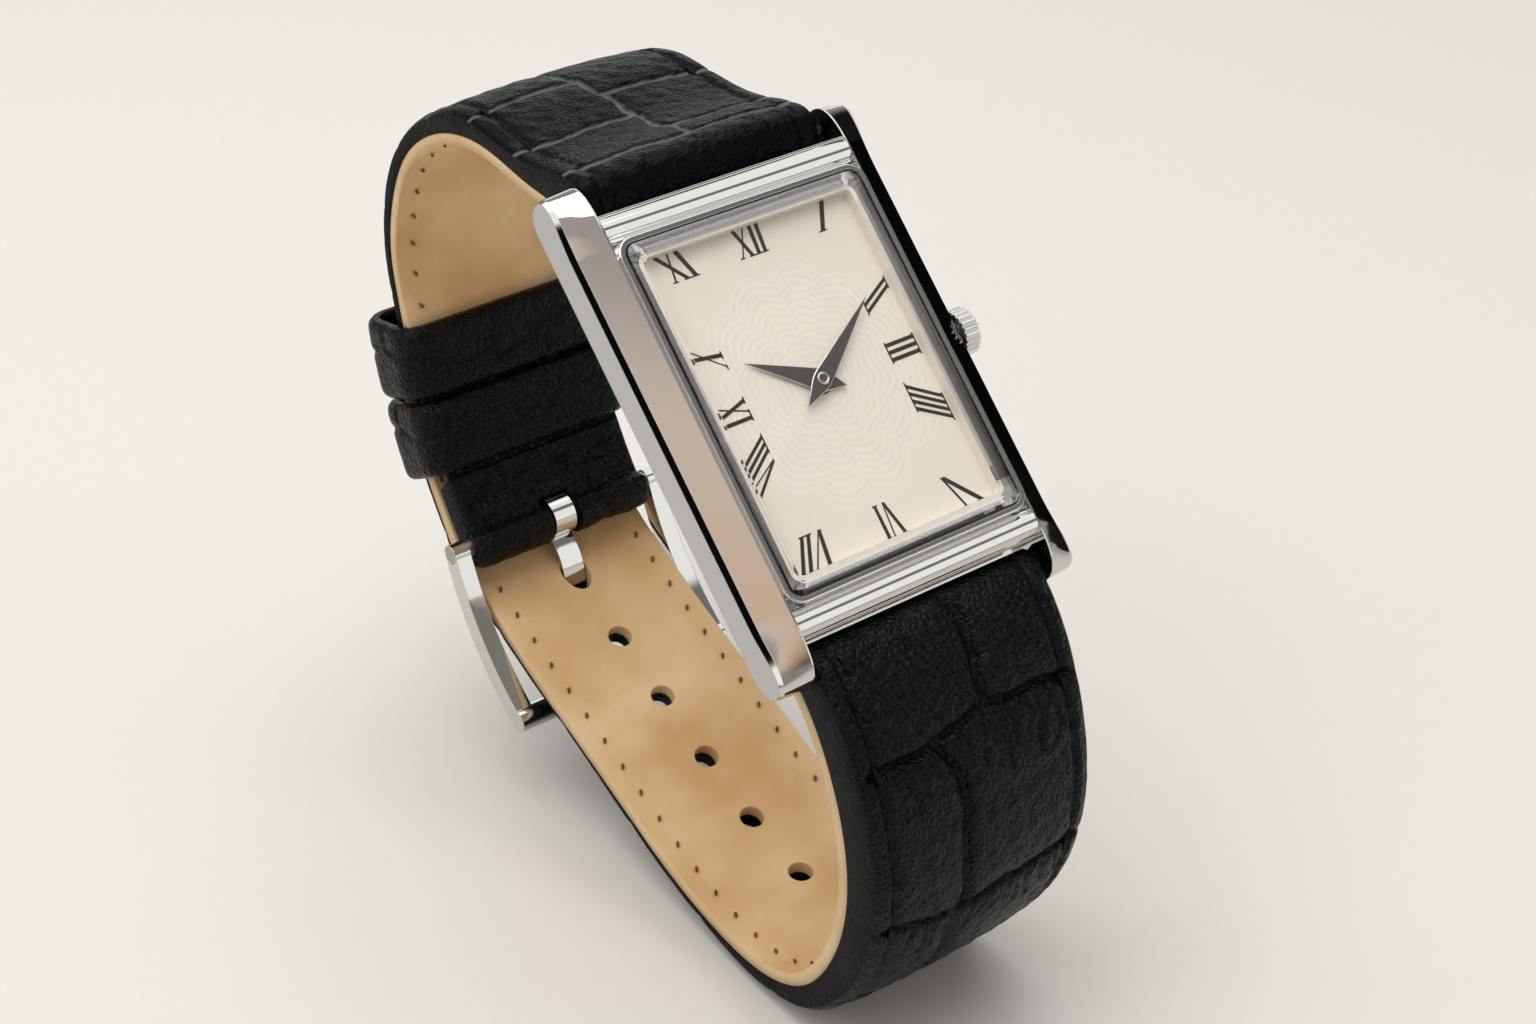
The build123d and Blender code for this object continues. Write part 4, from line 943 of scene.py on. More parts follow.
@dataclass
class Hands:
    """The two kite-shaped hands: flat tops painted dark grey as a painted reflection, with bright bevelled
    edges.
    """

    finishes: Finishes
    thickness: float = 0.11
    edge: float = 0.07
    edge_drop_share: float = 0.6
    edge_share_at_ends: float = 2.4
    tail_share: float = 0.34
    shoulder_share: float = -0.03
    shoulder_round: float = 0.5
    shoulder_steps: int = 6
    cap_profile: tuple[Point, ...] = ((1.0, 0.0), (1.0, 0.07), (0.88, 0.12), (0.72, 0.12),
                                      (0.62, 0.07), (0.1, 0.07))
    cap_sides: int = 32
    hands: tuple[Hand, ...] = (Hand("hour_hand", "hour", 5.6, 1.72, 149.5, 0.2, 0.0),
                               Hand("minute_hand", "minute", 7.4, 1.44, 34.8, 0.46, 0.45))

    def outline(self, length: float, width: float) -> list[Point]:
        """Draws a hand's outline with rounded shoulders, pointing along x.

        Args:
            length: from the centre to the tip.
            width: at its shoulders.

        Returns:
            Its points in order.
        """
        tail, shoulder, half = -length * self.tail_share, length * self.shoulder_share, width / 2
        points: list[Point] = [(length, 0.0)]
        for side in (1, -1):
            corner = (shoulder, side * half)
            before = (length, 0.0) if side == 1 else (tail, 0.0)
            after = (tail, 0.0) if side == 1 else (length, 0.0)
            a = self.toward(corner, before, self.shoulder_round)
            b = self.toward(corner, after, self.shoulder_round)
            for step in range(self.shoulder_steps + 1):
                t = step / self.shoulder_steps
                points.append(((1 - t) ** 2 * a[0] + 2 * t * (1 - t) * corner[0] + t * t * b[0],
                               (1 - t) ** 2 * a[1] + 2 * t * (1 - t) * corner[1] + t * t * b[1]))
            if side == 1:
                points.append((tail, 0.0))
        return points

    def toward(self, start: Point, goal: Point, distance: float) -> Point:
        """Gives the point at a distance from start on the way to goal."""
        share = distance / math.dist(start, goal)
        return start[0] + (goal[0] - start[0]) * share, start[1] + (goal[1] - start[1]) * share

    def forge(self, hand: Hand) -> None:
        """Builds one hand: its edge rises from a flat underside to a smaller top, painted dark as a
        reflection.

        Args:
            hand: the hand's sizes and place.
        """
        shape = bmesh.new()
        outer = self.outline(hand.length, hand.width)
        shrink_x = 1 - self.edge * self.edge_share_at_ends / hand.length
        shrink_y = 1 - self.edge * 2 / hand.width
        high = hand.low + self.thickness
        rings = [[(x, y, hand.low) for x, y in outer],
                 [(x, y, high - self.edge * self.edge_drop_share) for x, y in outer],
                 [(x * shrink_x, y * shrink_y, high) for x, y in outer]]
        turn = Matrix.Rotation(math.radians(hand.angle), 3, "Z")
        rows = [[shape.verts.new(turn @ Vector(v)) for v in ring] for ring in rings]
        count = len(outer)
        for lower, upper in zip(rows, rows[1:]):
            for k in range(count):
                shape.faces.new((lower[k], lower[(k + 1) % count], upper[(k + 1) % count], upper[k]))
        # Material 1 on the top: dark grey paint that stands in for a reflection of dark surroundings.
        shape.faces.new(rows[-1]).material_index = 1
        shape.faces.new(list(reversed(rows[0])))
        if hand.cap:
            self.cap(shape, hand.cap, high)
        mesh = bpy.data.meshes.new(hand.node)
        close_up(shape, mesh)
        piece = new_object(hand.node + "_finished", mesh, hand.body,
                           [self.finishes.get("hand_edge"), self.finishes.get("hand_top_painted_dark")])
        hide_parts(hand.node)

    def cap(self, shape: bmesh.types.BMesh, radius: float, low: float) -> None:
        """Adds the round cap of the minute hand: a bright ring round a centre painted dark as a reflection.

        Args:
            shape: the hand's mesh.
            radius: the cap's outer radius.
            low: where it stands on the hand.
        """
        count = self.cap_sides
        rows = []
        for share, z in self.cap_profile:
            r = radius * share
            rows.append([shape.verts.new((r * math.cos(2 * math.pi * k / count),
                                          r * math.sin(2 * math.pi * k / count), low + z))
                         for k in range(count)])
        for lower, upper in zip(rows, rows[1:]):
            for k in range(count):
                face = shape.faces.new((lower[k], lower[(k + 1) % count],
                                        upper[(k + 1) % count], upper[k]))
                face.material_index = 1 if upper is rows[-1] else 0
                face.smooth = True
        shape.faces.new(rows[-1]).material_index = 1

    def build(self) -> None:
        """Builds both hands."""
        for hand in self.hands:
            self.forge(hand)
        LOG.info("hands: %d built", len(self.hands))


# Strap

def smooth_curve(points: list[Point], count: int) -> np.ndarray:
    """Lays a cubic spline through points and reads it at even steps of its length.

    Args:
        points: the points, each y and z in millimetres.
        count: how many places to read.

    Returns:
        An array of that many rows.
    """
    evenness, fineness = 0.9, 8
    data = np.array(points, float)
    steps = np.sqrt((np.diff(data, axis=0) ** 2).sum(1)) ** evenness
    t = np.concatenate([[0.0], np.cumsum(steps)])
    n = len(t)
    h = np.diff(t)
    system = np.zeros((n, n))
    right = np.zeros((n, 2))
    system[0, 0] = system[-1, -1] = 1.0
    for i in range(1, n - 1):
        system[i, i - 1], system[i, i], system[i, i + 1] = h[i - 1], 2 * (h[i - 1] + h[i]), h[i]
        right[i] = 6 * ((data[i + 1] - data[i]) / h[i] - (data[i] - data[i - 1]) / h[i - 1])
    bend = np.linalg.solve(system, right)
    fine_t = np.linspace(0, t[-1], count * fineness)
    place = np.clip(np.searchsorted(t, fine_t, side="right") - 1, 0, n - 2)
    a = (t[place + 1] - fine_t) / h[place]
    b = (fine_t - t[place]) / h[place]
    fine = (a[:, None] * data[place] + b[:, None] * data[place + 1]
            + ((a ** 3 - a)[:, None] * bend[place] + (b ** 3 - b)[:, None] * bend[place + 1])
            * (h[place] ** 2)[:, None] / 6)
    return read_along(fine, np.linspace(0, run_along(fine)[-1], count))


@dataclass(frozen=True)
class WristLoop:
    """The closed strap's circle round the wrist, in dial millimetres.

    The radius is the short piece's inner face at the buckle, thickness is that of one strap
    piece there, tail_gap lies between both pieces, and fold_y is where the fold takes over.
    """

    radius: float = 38.6
    thickness: float = 2.3
    tail_gap: float = 0.3
    fold_y: float = 10.2
    centre_y: float = -0.5
    centre_z: float = -3.4
    lug_bar_y: float = 16.75
    lug_bar_z: float = -1.75
    loop_half_width: float = 34.0
    loop_depth: float = 43.0

    def point(self, angle: float, radius: float) -> Point:
        """Gives the point at an angle from straight below, at a radius."""
        turn = math.radians(angle)
        return self.centre_y + radius * math.sin(turn), self.centre_z - radius * math.cos(turn)

    def angle(self, y: float, radius: float) -> float:
        """Gives the angle at which a circle of that radius reaches y."""
        return math.degrees(math.asin((y - self.centre_y) / radius))

    def arc(self, start: float, end: float, radius: float, count: int) -> list[Point]:
        """Gives points along a circle about the wrist's centre."""
        return [self.point(start + (end - start) * k / (count - 1), radius) for k in range(count)]

    def lug(self, shares: tuple[Point, ...], side: int) -> list[Point]:
        """Gives the free stretch of a strap piece beside its lug.

        Args:
            shares: its places between the spring bar and the loop's far side and bottom.
            side: 1 at twelve o'clock, -1 at six.

        Returns:
            The places, y and z in millimetres.
        """
        reach = self.loop_half_width - self.lug_bar_y
        drop = self.loop_depth + self.lug_bar_z
        return [(side * (self.lug_bar_y + out * reach), self.lug_bar_z - down * drop)
                for out, down in shares]


LOOP = WristLoop()


@dataclass(frozen=True)
class StrapWidths:
    """How wide the strap is, seen from the front, in millimetres.

    The stitches lie stitch_inset inside its long edges.
    """

    lug_half: float = 9.7
    tip_half: float = 7.9
    stitch_inset: float = 1.45
    top_z: float = -3.0
    bottom_z: float = -36.0

    def half(self, z: np.ndarray) -> np.ndarray:
        """Gives half of the width at each height."""
        share = np.clip((self.top_z - z) / (self.top_z - self.bottom_z), 0, 1)
        return self.lug_half + (self.tip_half - self.lug_half) * share


WIDTHS = StrapWidths()


@dataclass
class Crease:
    """One pressed line of the scale pattern, between points given as length and side."""

    points: tuple[Point, ...]
    depth: float
    width: float


@dataclass
class Embossing:
    """The pressed pattern of large scales on the strap's outer leather.

    The leather domes up between creases deeper than edge_depth, which bound the scales, and
    a scale without such an edge counts as reaching as far as open_reach.
    """

    creases: list[Crease] = field(default_factory=list)
    wrinkle: float = 0.06
    wrinkle_scale: float = 1.5
    dome: float = 0.26
    dome_reach: float = 1.0
    edge_depth: float = 0.25
    open_reach: float = 9.0
    drift: float = 0.28
    drift_scales: Point = (5.0, 4.0)
    swings: int = 9
    swing_spread: Point = (0.6, 1.7)
    fringe_shares: Point = (0.45, 1.0)
    fringe_depths: Point = (0.12, 0.24)
    fringe_sways: Point = (0.3, 0.5)
    fringe_scatter: Point = (0.2, 0.8)
    fringe_width: float = 0.17
    seed: int = 4

    def wander(self, places: np.ndarray, scale: float, seed: int) -> np.ndarray:
        """Gives a smooth, repeatable wander of about -1 to 1 at each place.

        Args:
            places: rows of length and side, in millimetres.
            scale: how far apart its swings are.
            seed: picks one wander out of many.

        Returns:
            One value for each place.
        """
        rng = np.random.default_rng(seed)
        total = np.zeros(len(places))
        for _ in range(self.swings):
            turn = rng.uniform(0, 2 * math.pi)
            speed = 2 * math.pi / (scale * rng.uniform(*self.swing_spread))
            shift = rng.uniform(0, 2 * math.pi)
            total += np.sin((places[:, 0] * math.cos(turn) + places[:, 1] * math.sin(turn)) * speed + shift)
        return total / (self.swings / 2)

    def height(self, places: np.ndarray) -> np.ndarray:
        """Gives the pattern's height at each place.

        Args:
            places: rows of length along the strap and side across it, in millimetres.

        Returns:
            The height in millimetres: below zero in the creases.
        """
        drift = np.column_stack([self.wander(places, scale, self.seed + k)
                                 for k, scale in enumerate(self.drift_scales)])
        moved = places + drift * self.drift
        result = np.zeros(len(places))
        nearest = np.full(len(places), self.open_reach)
        for crease in self.creases:
            distance = np.full(len(places), np.inf)
            for a, b in zip(crease.points, crease.points[1:]):
                start, run = np.array(a), np.array(b) - np.array(a)
                t = np.clip((moved - start) @ run / max(run @ run, 1e-9), 0, 1)
                distance = np.minimum(distance, np.linalg.norm(moved - start - t[:, None] * run, axis=1))
            result = np.minimum(result, -crease.depth * np.exp(-(distance / crease.width) ** 2))
            if crease.depth > self.edge_depth:
                nearest = np.minimum(nearest, distance)
        result += self.dome * (1 - np.exp(-nearest / self.dome_reach)) - self.dome / 2
        result += self.wrinkle * self.wander(places, self.wrinkle_scale, self.seed + 2)
        return result

    def fringe(self, at: float, low: float, high: float, length: float, count: int) -> list[Crease]:
        """Gives the short wrinkles that run out of a cross crease towards the strap's tip.

        Args:
            at: the cross crease's place along the strap.
            low: the side where they start.
            high: the side where they end.
            length: how long they are at most.
            count: how many there are.

        Returns:
            The wrinkles.
        """
        rng = random.Random(self.seed * 100 + int(at * 10))
        midway, ending = self.fringe_sways
        found = []
        for k in range(count):
            side = low + (high - low) * (k + rng.uniform(*self.fringe_scatter)) / count
            reach = length * rng.uniform(*self.fringe_shares)
            found.append(Crease(((at, side), (at + reach / 2, side + rng.uniform(-midway, midway)),
                                 (at + reach, side + rng.uniform(-ending, ending))),
                                rng.uniform(*self.fringe_depths), self.fringe_width))
        return found


@dataclass
class StrapLayer:
    """One layer of a strap piece: a bent sheet with rounded long edges.

    Leather that is pressed deeper than pale_crease_below takes the colour of a crease. The scales
    flatten to border_share of their height between the two insets of the border, which are
    measured from the long edges.
    """

    inner: np.ndarray
    outer: np.ndarray
    edge_round: float
    crown: float
    groove: float
    lug_round: float
    around: int = 100
    spread: float = 0.75
    border: Point = (0.3, 1.0)
    border_share: float = 0.3
    edge_falloff: float = 1.6
    groove_width: float = 0.3
    lug_thinnest: float = 0.04
    pale_crease_below: float = 0.3
    pale_crease_fade: float = 0.1

    def build(self, name: str, half_widths: np.ndarray, scales: Embossing | None) -> bpy.types.Mesh:
        """Builds the layer's closed mesh.

        Args:
            name: the mesh's name.
            half_widths: half of its width at each station.
            scales: the embossing of its outer face, if it has one.

        Returns:
            The mesh, with material 0 on its faces and 1 on its cut edges.
        """
        stations = len(self.inner)
        run = run_along(self.outer)
        fan = self.spread * math.pi / 2
        sides = np.sin(np.linspace(-1, 1, self.around) * fan) / math.sin(fan)
        length, side = np.meshgrid(run, sides, indexing="ij")
        across = side * half_widths[:, None]
        lift = np.zeros(length.shape)
        if scales is not None:
            places = np.column_stack([length.ravel(), across.ravel()])
            lift = scales.height(places).reshape(length.shape)
        pattern = lift.copy()
        inset = half_widths[:, None] - np.abs(across)
        start, end = self.border
        lift *= np.clip((inset - start) / (end - start), self.border_share, 1)
        lift -= self.edge_round * np.exp(-(inset / self.edge_round) * self.edge_falloff)
        lift -= self.crown * np.clip(1 - inset / half_widths[:, None], 0, 1) ** 2
        lift -= self.groove * np.exp(-((inset - WIDTHS.stitch_inset) / self.groove_width) ** 2)
        out = self.outer - self.inner
        out = out / np.linalg.norm(out, axis=1)[:, None]
        near = np.clip(run / self.lug_round, 0, 1)
        shrink = np.sqrt(np.clip(1 - (1 - near) ** 2, 0, 1)) * (1 - self.lug_thinnest) + self.lug_thinnest
        middle = (self.outer + self.inner) / 2
        surfaces = []
        for curve, rise in ((self.outer, lift), (self.inner, np.zeros(lift.shape))):
            y, z = (middle[:, c, None] + (curve[:, c, None] + out[:, c, None] * rise - middle[:, c, None])
                    * shrink[:, None] for c in (0, 1))
            surfaces.append(np.stack([across, y, z], -1).reshape(-1, 3))
        vertices = np.concatenate(surfaces)
        offset = stations * self.around
        faces, edges = [], []
        for i in range(stations - 1):
            base = i * self.around
            for j in range(self.around - 1):
                a = base + j
                faces.append((a, a + 1, a + 1 + self.around, a + self.around))
                faces.append((offset + a, offset + a + self.around, offset + a + 1 + self.around,
                              offset + a + 1))
            for j in (0, self.around - 1):
                a = base + j
                edges.append((a, a + self.around, offset + a + self.around, offset + a))
        for i in (0, stations - 1):
            for j in range(self.around - 1):
                a = i * self.around + j
                edges.append((a, a + 1, offset + a + 1, offset + a))
        mesh = mesh_from(name, vertices, faces + edges)
        mesh.polygons.foreach_set("material_index", [0] * len(faces) + [1] * len(edges))
        if scales is not None:
            # Deep creases take the crease colour, which is painted pale on the short piece to lift the
            # shade in them.
            depth = np.clip((-pattern - self.pale_crease_below) / self.pale_crease_fade, 0, 1).ravel()
            pressed = mesh.attributes.new("pressed", "FLOAT", "POINT")
            pressed.data.foreach_set("value", np.concatenate([depth, np.zeros(len(depth))]))
        return mesh


@dataclass(frozen=True)
class Stitching:
    """A row of waxed thread stitches, each a short rounded bar with its ends sunk."""

    length: float = 1.75
    gap: float = 0.75
    radius: float = 0.16
    thinnest: float = 0.02
    flatness: float = 0.8
    rise: float = 0.12
    slant: float = 0.1
    along_strap: bool = True
    sides: int = 8
    profile: tuple[tuple[float, float, float], ...] = (
        (-0.5, 0.0, -0.9), (-0.42, 0.6, -0.35), (-0.25, 0.95, 0.05), (0.0, 1.0, 0.15),
        (0.25, 0.95, 0.05), (0.42, 0.6, -0.35), (0.5, 0.0, -0.9))

    def row(self, shape: bmesh.types.BMesh, line: np.ndarray, outward: np.ndarray) -> None:
        """Adds the stitches of one row.

        Each ring of the profile gives its place along the stitch, its thickness and its height.

        Args:
            shape: the mesh that collects them.
            line: the row's places, x, y and z.
            outward: the direction away from the leather at each place.
        """
        run = run_along(line)
        count = int(run[-1] / (self.length + self.gap))
        pitch = run[-1] / count
        turns = [2 * math.pi * m / self.sides for m in range(self.sides)]
        for k in range(count):
            centre = (k + 0.5) * pitch
            rings = []
            for share, thick, sink in self.profile:
                at = centre + share * self.length
                place, up = (np.array([np.interp(at, run, column) for column in rows.T])
                             for rows in (line, outward))
                up = up / np.linalg.norm(up)
                side = np.array([1.0, 0.0, 0.0]) if self.along_strap else np.cross(up, (1.0, 0.0, 0.0))
                place = place + side * self.slant * share * 2 + up * (sink * self.radius + self.rise)
                r = max(self.radius * thick, self.thinnest)
                rings.append([shape.verts.new(place + side * r * math.cos(a)
                                              + up * r * self.flatness * math.sin(a)) for a in turns])
            for lower, upper in zip(rings, rings[1:]):
                for m, n in zip(range(self.sides), [*range(1, self.sides), 0]):
                    shape.faces.new((lower[m], lower[n], upper[n], upper[m])).smooth = True
            shape.faces.new(rings[0])
            shape.faces.new(list(reversed(rings[-1])))


@dataclass
class Strap:
    """Both strap pieces, closed round the wrist: leather, lining, stitches and holes.

    A press is the depth and the width of a crease. Six and twelve name the long and the short
    piece by the hour that they start at, and sewn gives the stations between which rows run.
    A fringe is the place of its cross crease, the sides between which its wrinkles run out,
    their greatest length and their number, and one that each row has goes without the place.
    """

    finishes: Finishes
    lining: float = 1.0
    pad: float = 2.3
    pad_full: float = 14.0
    pad_fade: float = 32.0
    tail_start: float = 52.0
    tail_relief: float = 0.2
    tail_fade: float = 6.0
    tip_length: float = 6.0
    tip_least: float = 0.03
    tail_angles: Point = (12.5, 36.9)
    lap_angle: float = 41.8
    arc_points: int = 8
    six_stations: int = 660
    twelve_stations: int = 340
    groove: float = 0.28
    six_crown: float = 0.5
    twelve_crown: float = 0.4
    edge_round: float = 0.35
    six_lug_round: float = 2.6
    twelve_lug_round: float = 2.2
    lining_inset: float = 0.02
    lining_edge_round: float = 0.05
    lining_groove: float = 0.04
    lining_lug_round: float = 1.2
    six_sewn: tuple[int, int] = (20, 622)
    twelve_sewn: tuple[int, int] = (31, 294)
    twelve_lining_sewn: tuple[int, int] = (20, 294)
    lining_thread: Stitching = Stitching(length=0.5, gap=2.0, radius=0.14)
    hole_radius: float = 0.95
    hole_pitch: float = 6.15
    hole_count: int = 6
    punch_length: float = 12.0
    punch_sides: int = 32
    tongue_shift: float = 0.5
    tongue_hole_growth: float = 1.2
    tongue_hole_stretch: float = 1.45
    fold_angle: float = 31.0
    lug_press: Point = (0.55, 0.36)
    lug_end_press: Point = (0.5, 0.36)
    lug_fringes: tuple[tuple[float, ...], ...] = ((9.4, -6.4, 7.0, 4.2, 13), (22.8, -6.8, 7.0, 3.8, 13))
    row_press: Point = (0.3, 0.45)
    row_start: float = 33.0
    row_pitch: float = 9.6
    row_end: float = 112.0
    row_half: float = 9.0
    row_bow: Point = (0.5, -0.3)
    row_middle: float = -1.8
    row_lean: float = 0.5
    row_fringe: tuple[float, ...] = (-6.4, 6.4, 2.2, 8)
    fine_press: Point = (0.26, 0.26)
    roll_fringe: tuple[float, ...] = (0.6, -8.6, 8.6, 3.6, 34)
    ripple_share: float = 0.5
    six_shares: tuple[Point, ...] = (
        (-0.08, 0.056), (0.133, 0.06), (0.409, 0.098), (0.675, 0.171), (0.872, 0.27), (1, 0.401),
        (1.024, 0.51), (0.941, 0.609), (0.724, 0.706), (0.34, 0.804), (-0.12, 0.879),
        (-0.535, 0.945), (-0.825, 0.987), (-1.075, 1.019), (-1.273, 1.03))
    twelve_inner: tuple[Point, ...] = (
        (-0.08, 0.056), (0.054, 0.077), (0.212, 0.13), (0.458, 0.213), (0.616, 0.302),
        (0.708, 0.406), (0.728, 0.51), (0.675, 0.604))
    twelve_outer: tuple[Point, ...] = (
        (-0.08, -0.036), (0.054, -0.051), (0.162, -0.011), (0.281, 0.062), (0.478, 0.14),
        (0.675, 0.213), (0.832, 0.354), (0.872, 0.5), (0.813, 0.625))

    def six_pattern(self) -> Embossing:
        """Draws the scales of the long piece, as the photograph shows them.

        Beside the lug each crease is drawn, and further on rows of two scales follow.

        Returns:
            The embossing.
        """
        marks = Embossing(seed=4)
        marks.creases = [
            Crease(((0.9, 1.4), (5.0, 1.6), (9.2, 1.1)), *self.lug_press),
            Crease(((10.1, -9.0), (9.5, -4.0), (8.8, 1.1), (9.0, 5.0), (9.3, 9.0)), *self.lug_press),
            Crease(((9.4, -3.0), (12.0, -2.0), (16.0, -1.6), (22.8, -1.8)), *self.lug_press),
            Crease(((22.4, -9.0), (23.4, -2.0), (22.6, 4.0), (22.0, 9.0)), *self.lug_end_press)]
        for fringe in self.lug_fringes:
            marks.creases += marks.fringe(*fringe)
        place, middle, half = self.row_start, self.row_middle, self.row_half
        bow, end_bow = self.row_bow
        while place < self.row_end:
            across = ((place, -half), (place + bow, 0.0), (place + end_bow, half))
            along = ((place, middle), (place - self.row_pitch, middle - self.row_lean))
            marks.creases += [Crease(line, *self.row_press) for line in (across, along)]
            marks.creases += marks.fringe(place, *self.row_fringe)
            place, middle = place + self.row_pitch, -middle
        return marks

    def twelve_pattern(self) -> Embossing:
        """Draws the scales of the short piece, and the ripples over the roll beside its lug.

        Returns:
            The embossing.
        """
        lines = (((4.3, -9.4), (4.6, 0.0), (4.4, 9.4)),
                 ((4.6, 0.6), (12.0, 0.2), (20.0, -0.6), (30.0, 0.4)),
                 ((10.6, -9.4), (10.9, 0.3)), ((7.2, 0.4), (7.0, 9.4)),
                 ((17.0, -9.4), (17.3, -0.4)), ((14.4, 0.0), (14.0, 9.4)),
                 ((23.5, -9.4), (23.8, 9.4)), ((30.5, -9.4), (30.0, 9.4)),
                 ((37.5, -9.4), (37.0, 9.4)), ((45.5, -9.4), (45.0, 9.4)))
        marks = Embossing([Crease(line, *self.fine_press) for line in lines], seed=9, dome=0.14)
        for ripple in marks.fringe(*self.roll_fringe):
            ripple.depth *= self.ripple_share
            marks.creases.append(ripple)
        return marks

    def six_curves(self) -> tuple[np.ndarray, np.ndarray, np.ndarray]:
        """Lays the long piece's curves.

        Returns:
            Its inner, middle and outer curve, y and z at each station.
        """
        tail_radius = LOOP.radius + LOOP.thickness + LOOP.tail_gap
        tail = LOOP.arc(*self.tail_angles, tail_radius, self.arc_points)
        inner = smooth_curve(LOOP.lug(self.six_shares, -1) + tail, self.six_stations)
        run = run_along(inner)
        share = np.clip((run - self.pad_full) / self.pad_fade, 0, 1)
        thick = LOOP.thickness + self.pad * (1 + np.cos(math.pi * share)) / 2
        thick -= self.tail_relief * np.clip((run - self.tail_start) / self.tail_fade, 0, 1)
        out = outward_of(inner)
        return inner, inner + out * self.lining, inner + out * thick[:, None]

    def twelve_curves(self) -> tuple[np.ndarray, np.ndarray, np.ndarray]:
        """Lays the short piece's curves.

        Returns:
            Its inner, middle and outer curve, y and z at each station.
        """
        start = LOOP.angle(LOOP.fold_y, LOOP.radius)
        inner, outer = (smooth_curve(LOOP.lug(shares, 1)
                                     + LOOP.arc(self.lap_angle, start, radius, self.arc_points),
                                     self.twelve_stations)
                        for shares, radius in ((self.twelve_inner, LOOP.radius),
                                               (self.twelve_outer, LOOP.radius + LOOP.thickness)))
        gap = outer - inner
        unit = gap / np.linalg.norm(gap, axis=1)[:, None]
        return inner, inner + unit * self.lining, outer

    def tip(self, halves: np.ndarray, curve: np.ndarray) -> np.ndarray:
        """Narrows the last stations of the long piece to its rounded point.

        Args:
            halves: half of the strap's width at each station.
            curve: the piece's inner curve.

        Returns:
            The half widths with the point.
        """
        run = run_along(curve)
        share = np.clip((run[-1] - run) / self.tip_length, 0, 1)
        return halves * np.clip(np.sqrt(np.clip(1 - (1 - share) ** 2, 0, 1)), self.tip_least, 1)

    def stitches(self, name: str, curve: np.ndarray, halves: np.ndarray, way: int, crown: float,
                 sewn: tuple[int, int]) -> None:
        """Sews both long edges of a curve: of the leather, or of the lining where crown is 0.

        Args:
            name: the piece's name.
            curve: the surface's curve, y and z.
            halves: half of the strap's width at each station.
            way: 1 where the curve runs with the wrist on its left, else -1.
            crown: how much the leather thins towards its long edges.
            sewn: the stations between which the rows run.
        """
        thread, material, slot = Stitching(), "thread", "strap_leather"
        if not crown:
            thread, material, slot = self.lining_thread, "lining_thread", "lining_leather"
        shape = bmesh.new()
        out = outward_of(curve, way)
        sink = crown * (1 - WIDTHS.stitch_inset / halves) ** 2 + self.groove * (crown > 0)
        rows = slice(*sewn)
        for side in (-1, 1):
            x = side * (halves - WIDTHS.stitch_inset)
            line = np.column_stack([x, curve - out * sink[:, None]])
            up = np.column_stack([np.zeros(len(curve)), out])
            thread.row(shape, line[rows], up[rows])
        mesh = bpy.data.meshes.new(name)
        close_up(shape, mesh)
        new_object(name, mesh, "case", [self.finishes.get(material)])

    def punches(self, curve: np.ndarray) -> bmesh.types.BMesh:
        """Makes the round punches for the free holes and the longer one round the tongue.

        Args:
            curve: the long piece's inner curve.

        Returns:
            The punches as one shape.
        """
        shape = bmesh.new()
        low = np.flatnonzero((curve[:, 0] <= 0.0) & (curve[:, 1] < -LOOP.loop_depth / 2))
        line = curve[low][::-1]
        run, slope = run_along(line), np.gradient(line, axis=0)
        for k in range(self.hole_count + 1):
            y, z, along_y, along_z = (np.interp(k * self.hole_pitch, run, column)
                                      for column in (*line.T, *slope.T))
            turn = Matrix.Rotation(math.atan2(along_z, along_y), 4, "X")
            place, radius = Matrix.Translation((0, y, z)) @ turn, self.hole_radius
            if k == 0:
                place = (place @ Matrix.Translation((0.0, -self.tongue_shift, 0.0))
                         @ Matrix.Diagonal((1.0, self.tongue_hole_stretch, 1.0, 1.0)))
                radius *= self.tongue_hole_growth
            bmesh.ops.create_cone(shape, cap_ends=True, segments=self.punch_sides, radius1=radius,
                                  radius2=radius, depth=self.punch_length, matrix=place)
        return shape

    def layers(self, name: str, inner: np.ndarray, halves: np.ndarray, leather: StrapLayer,
               scales: Embossing, skin: str,
               folded: bool) -> tuple[bpy.types.Object, bpy.types.Object]:
        """Builds the outer leather and the lining of one strap piece.

        Args:
            name: the part of both pieces' names before leather or lining.
            inner: the curve of the piece's inner face.
            halves: half of the strap's width at each station.
            leather: the outer leather's layer, which ends where the lining starts.
            scales: its embossing.
            skin: the key of its material.
            folded: whether the outer leather is folded over the lining at the buckle.

        Returns:
            The leather and the lining.
        """
        lining = StrapLayer(leather.inner, inner, self.lining_edge_round, 0.0, self.lining_groove,
                            self.lining_lug_round)
        top = new_object(name + "_leather_finished", leather.build(name, halves, scales), "case",
                         [self.finishes.get(skin), self.finishes.get("leather_edge")])
        sheet = lining.build(name + "_lining", halves - self.lining_inset, None)
        skins = ["lining", "lining_edge"]
        if folded:
            self.fold_over(sheet)
            skins.append("leather")
        under = new_object(name + "_lining_finished", sheet, "case",
                           [self.finishes.get(key) for key in skins])
        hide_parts(name + "_leather")
        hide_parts(name + "_lining")
        return top, under

    def build_six(self) -> None:
        """Builds the long piece."""
        inner, middle, outer = self.six_curves()
        halves = self.tip(WIDTHS.half(inner[:, 1]), inner)
        leather = StrapLayer(middle, outer, self.edge_round, self.six_crown, self.groove,
                             self.six_lug_round)
        pieces = self.layers("strap_six", inner, halves, leather, self.six_pattern(), "leather",
                             folded=False)
        punches = self.punches(inner)
        for piece in pieces:
            cut_away(piece, punches)
        punches.free()
        self.stitches("strap_six_stitches", outer, halves, 1, self.six_crown, self.six_sewn)
        self.stitches("strap_six_lining_stitches", inner, halves, -1, 0.0, self.six_sewn)
        LOG.info("strap_six: leather, lining and stitches built")

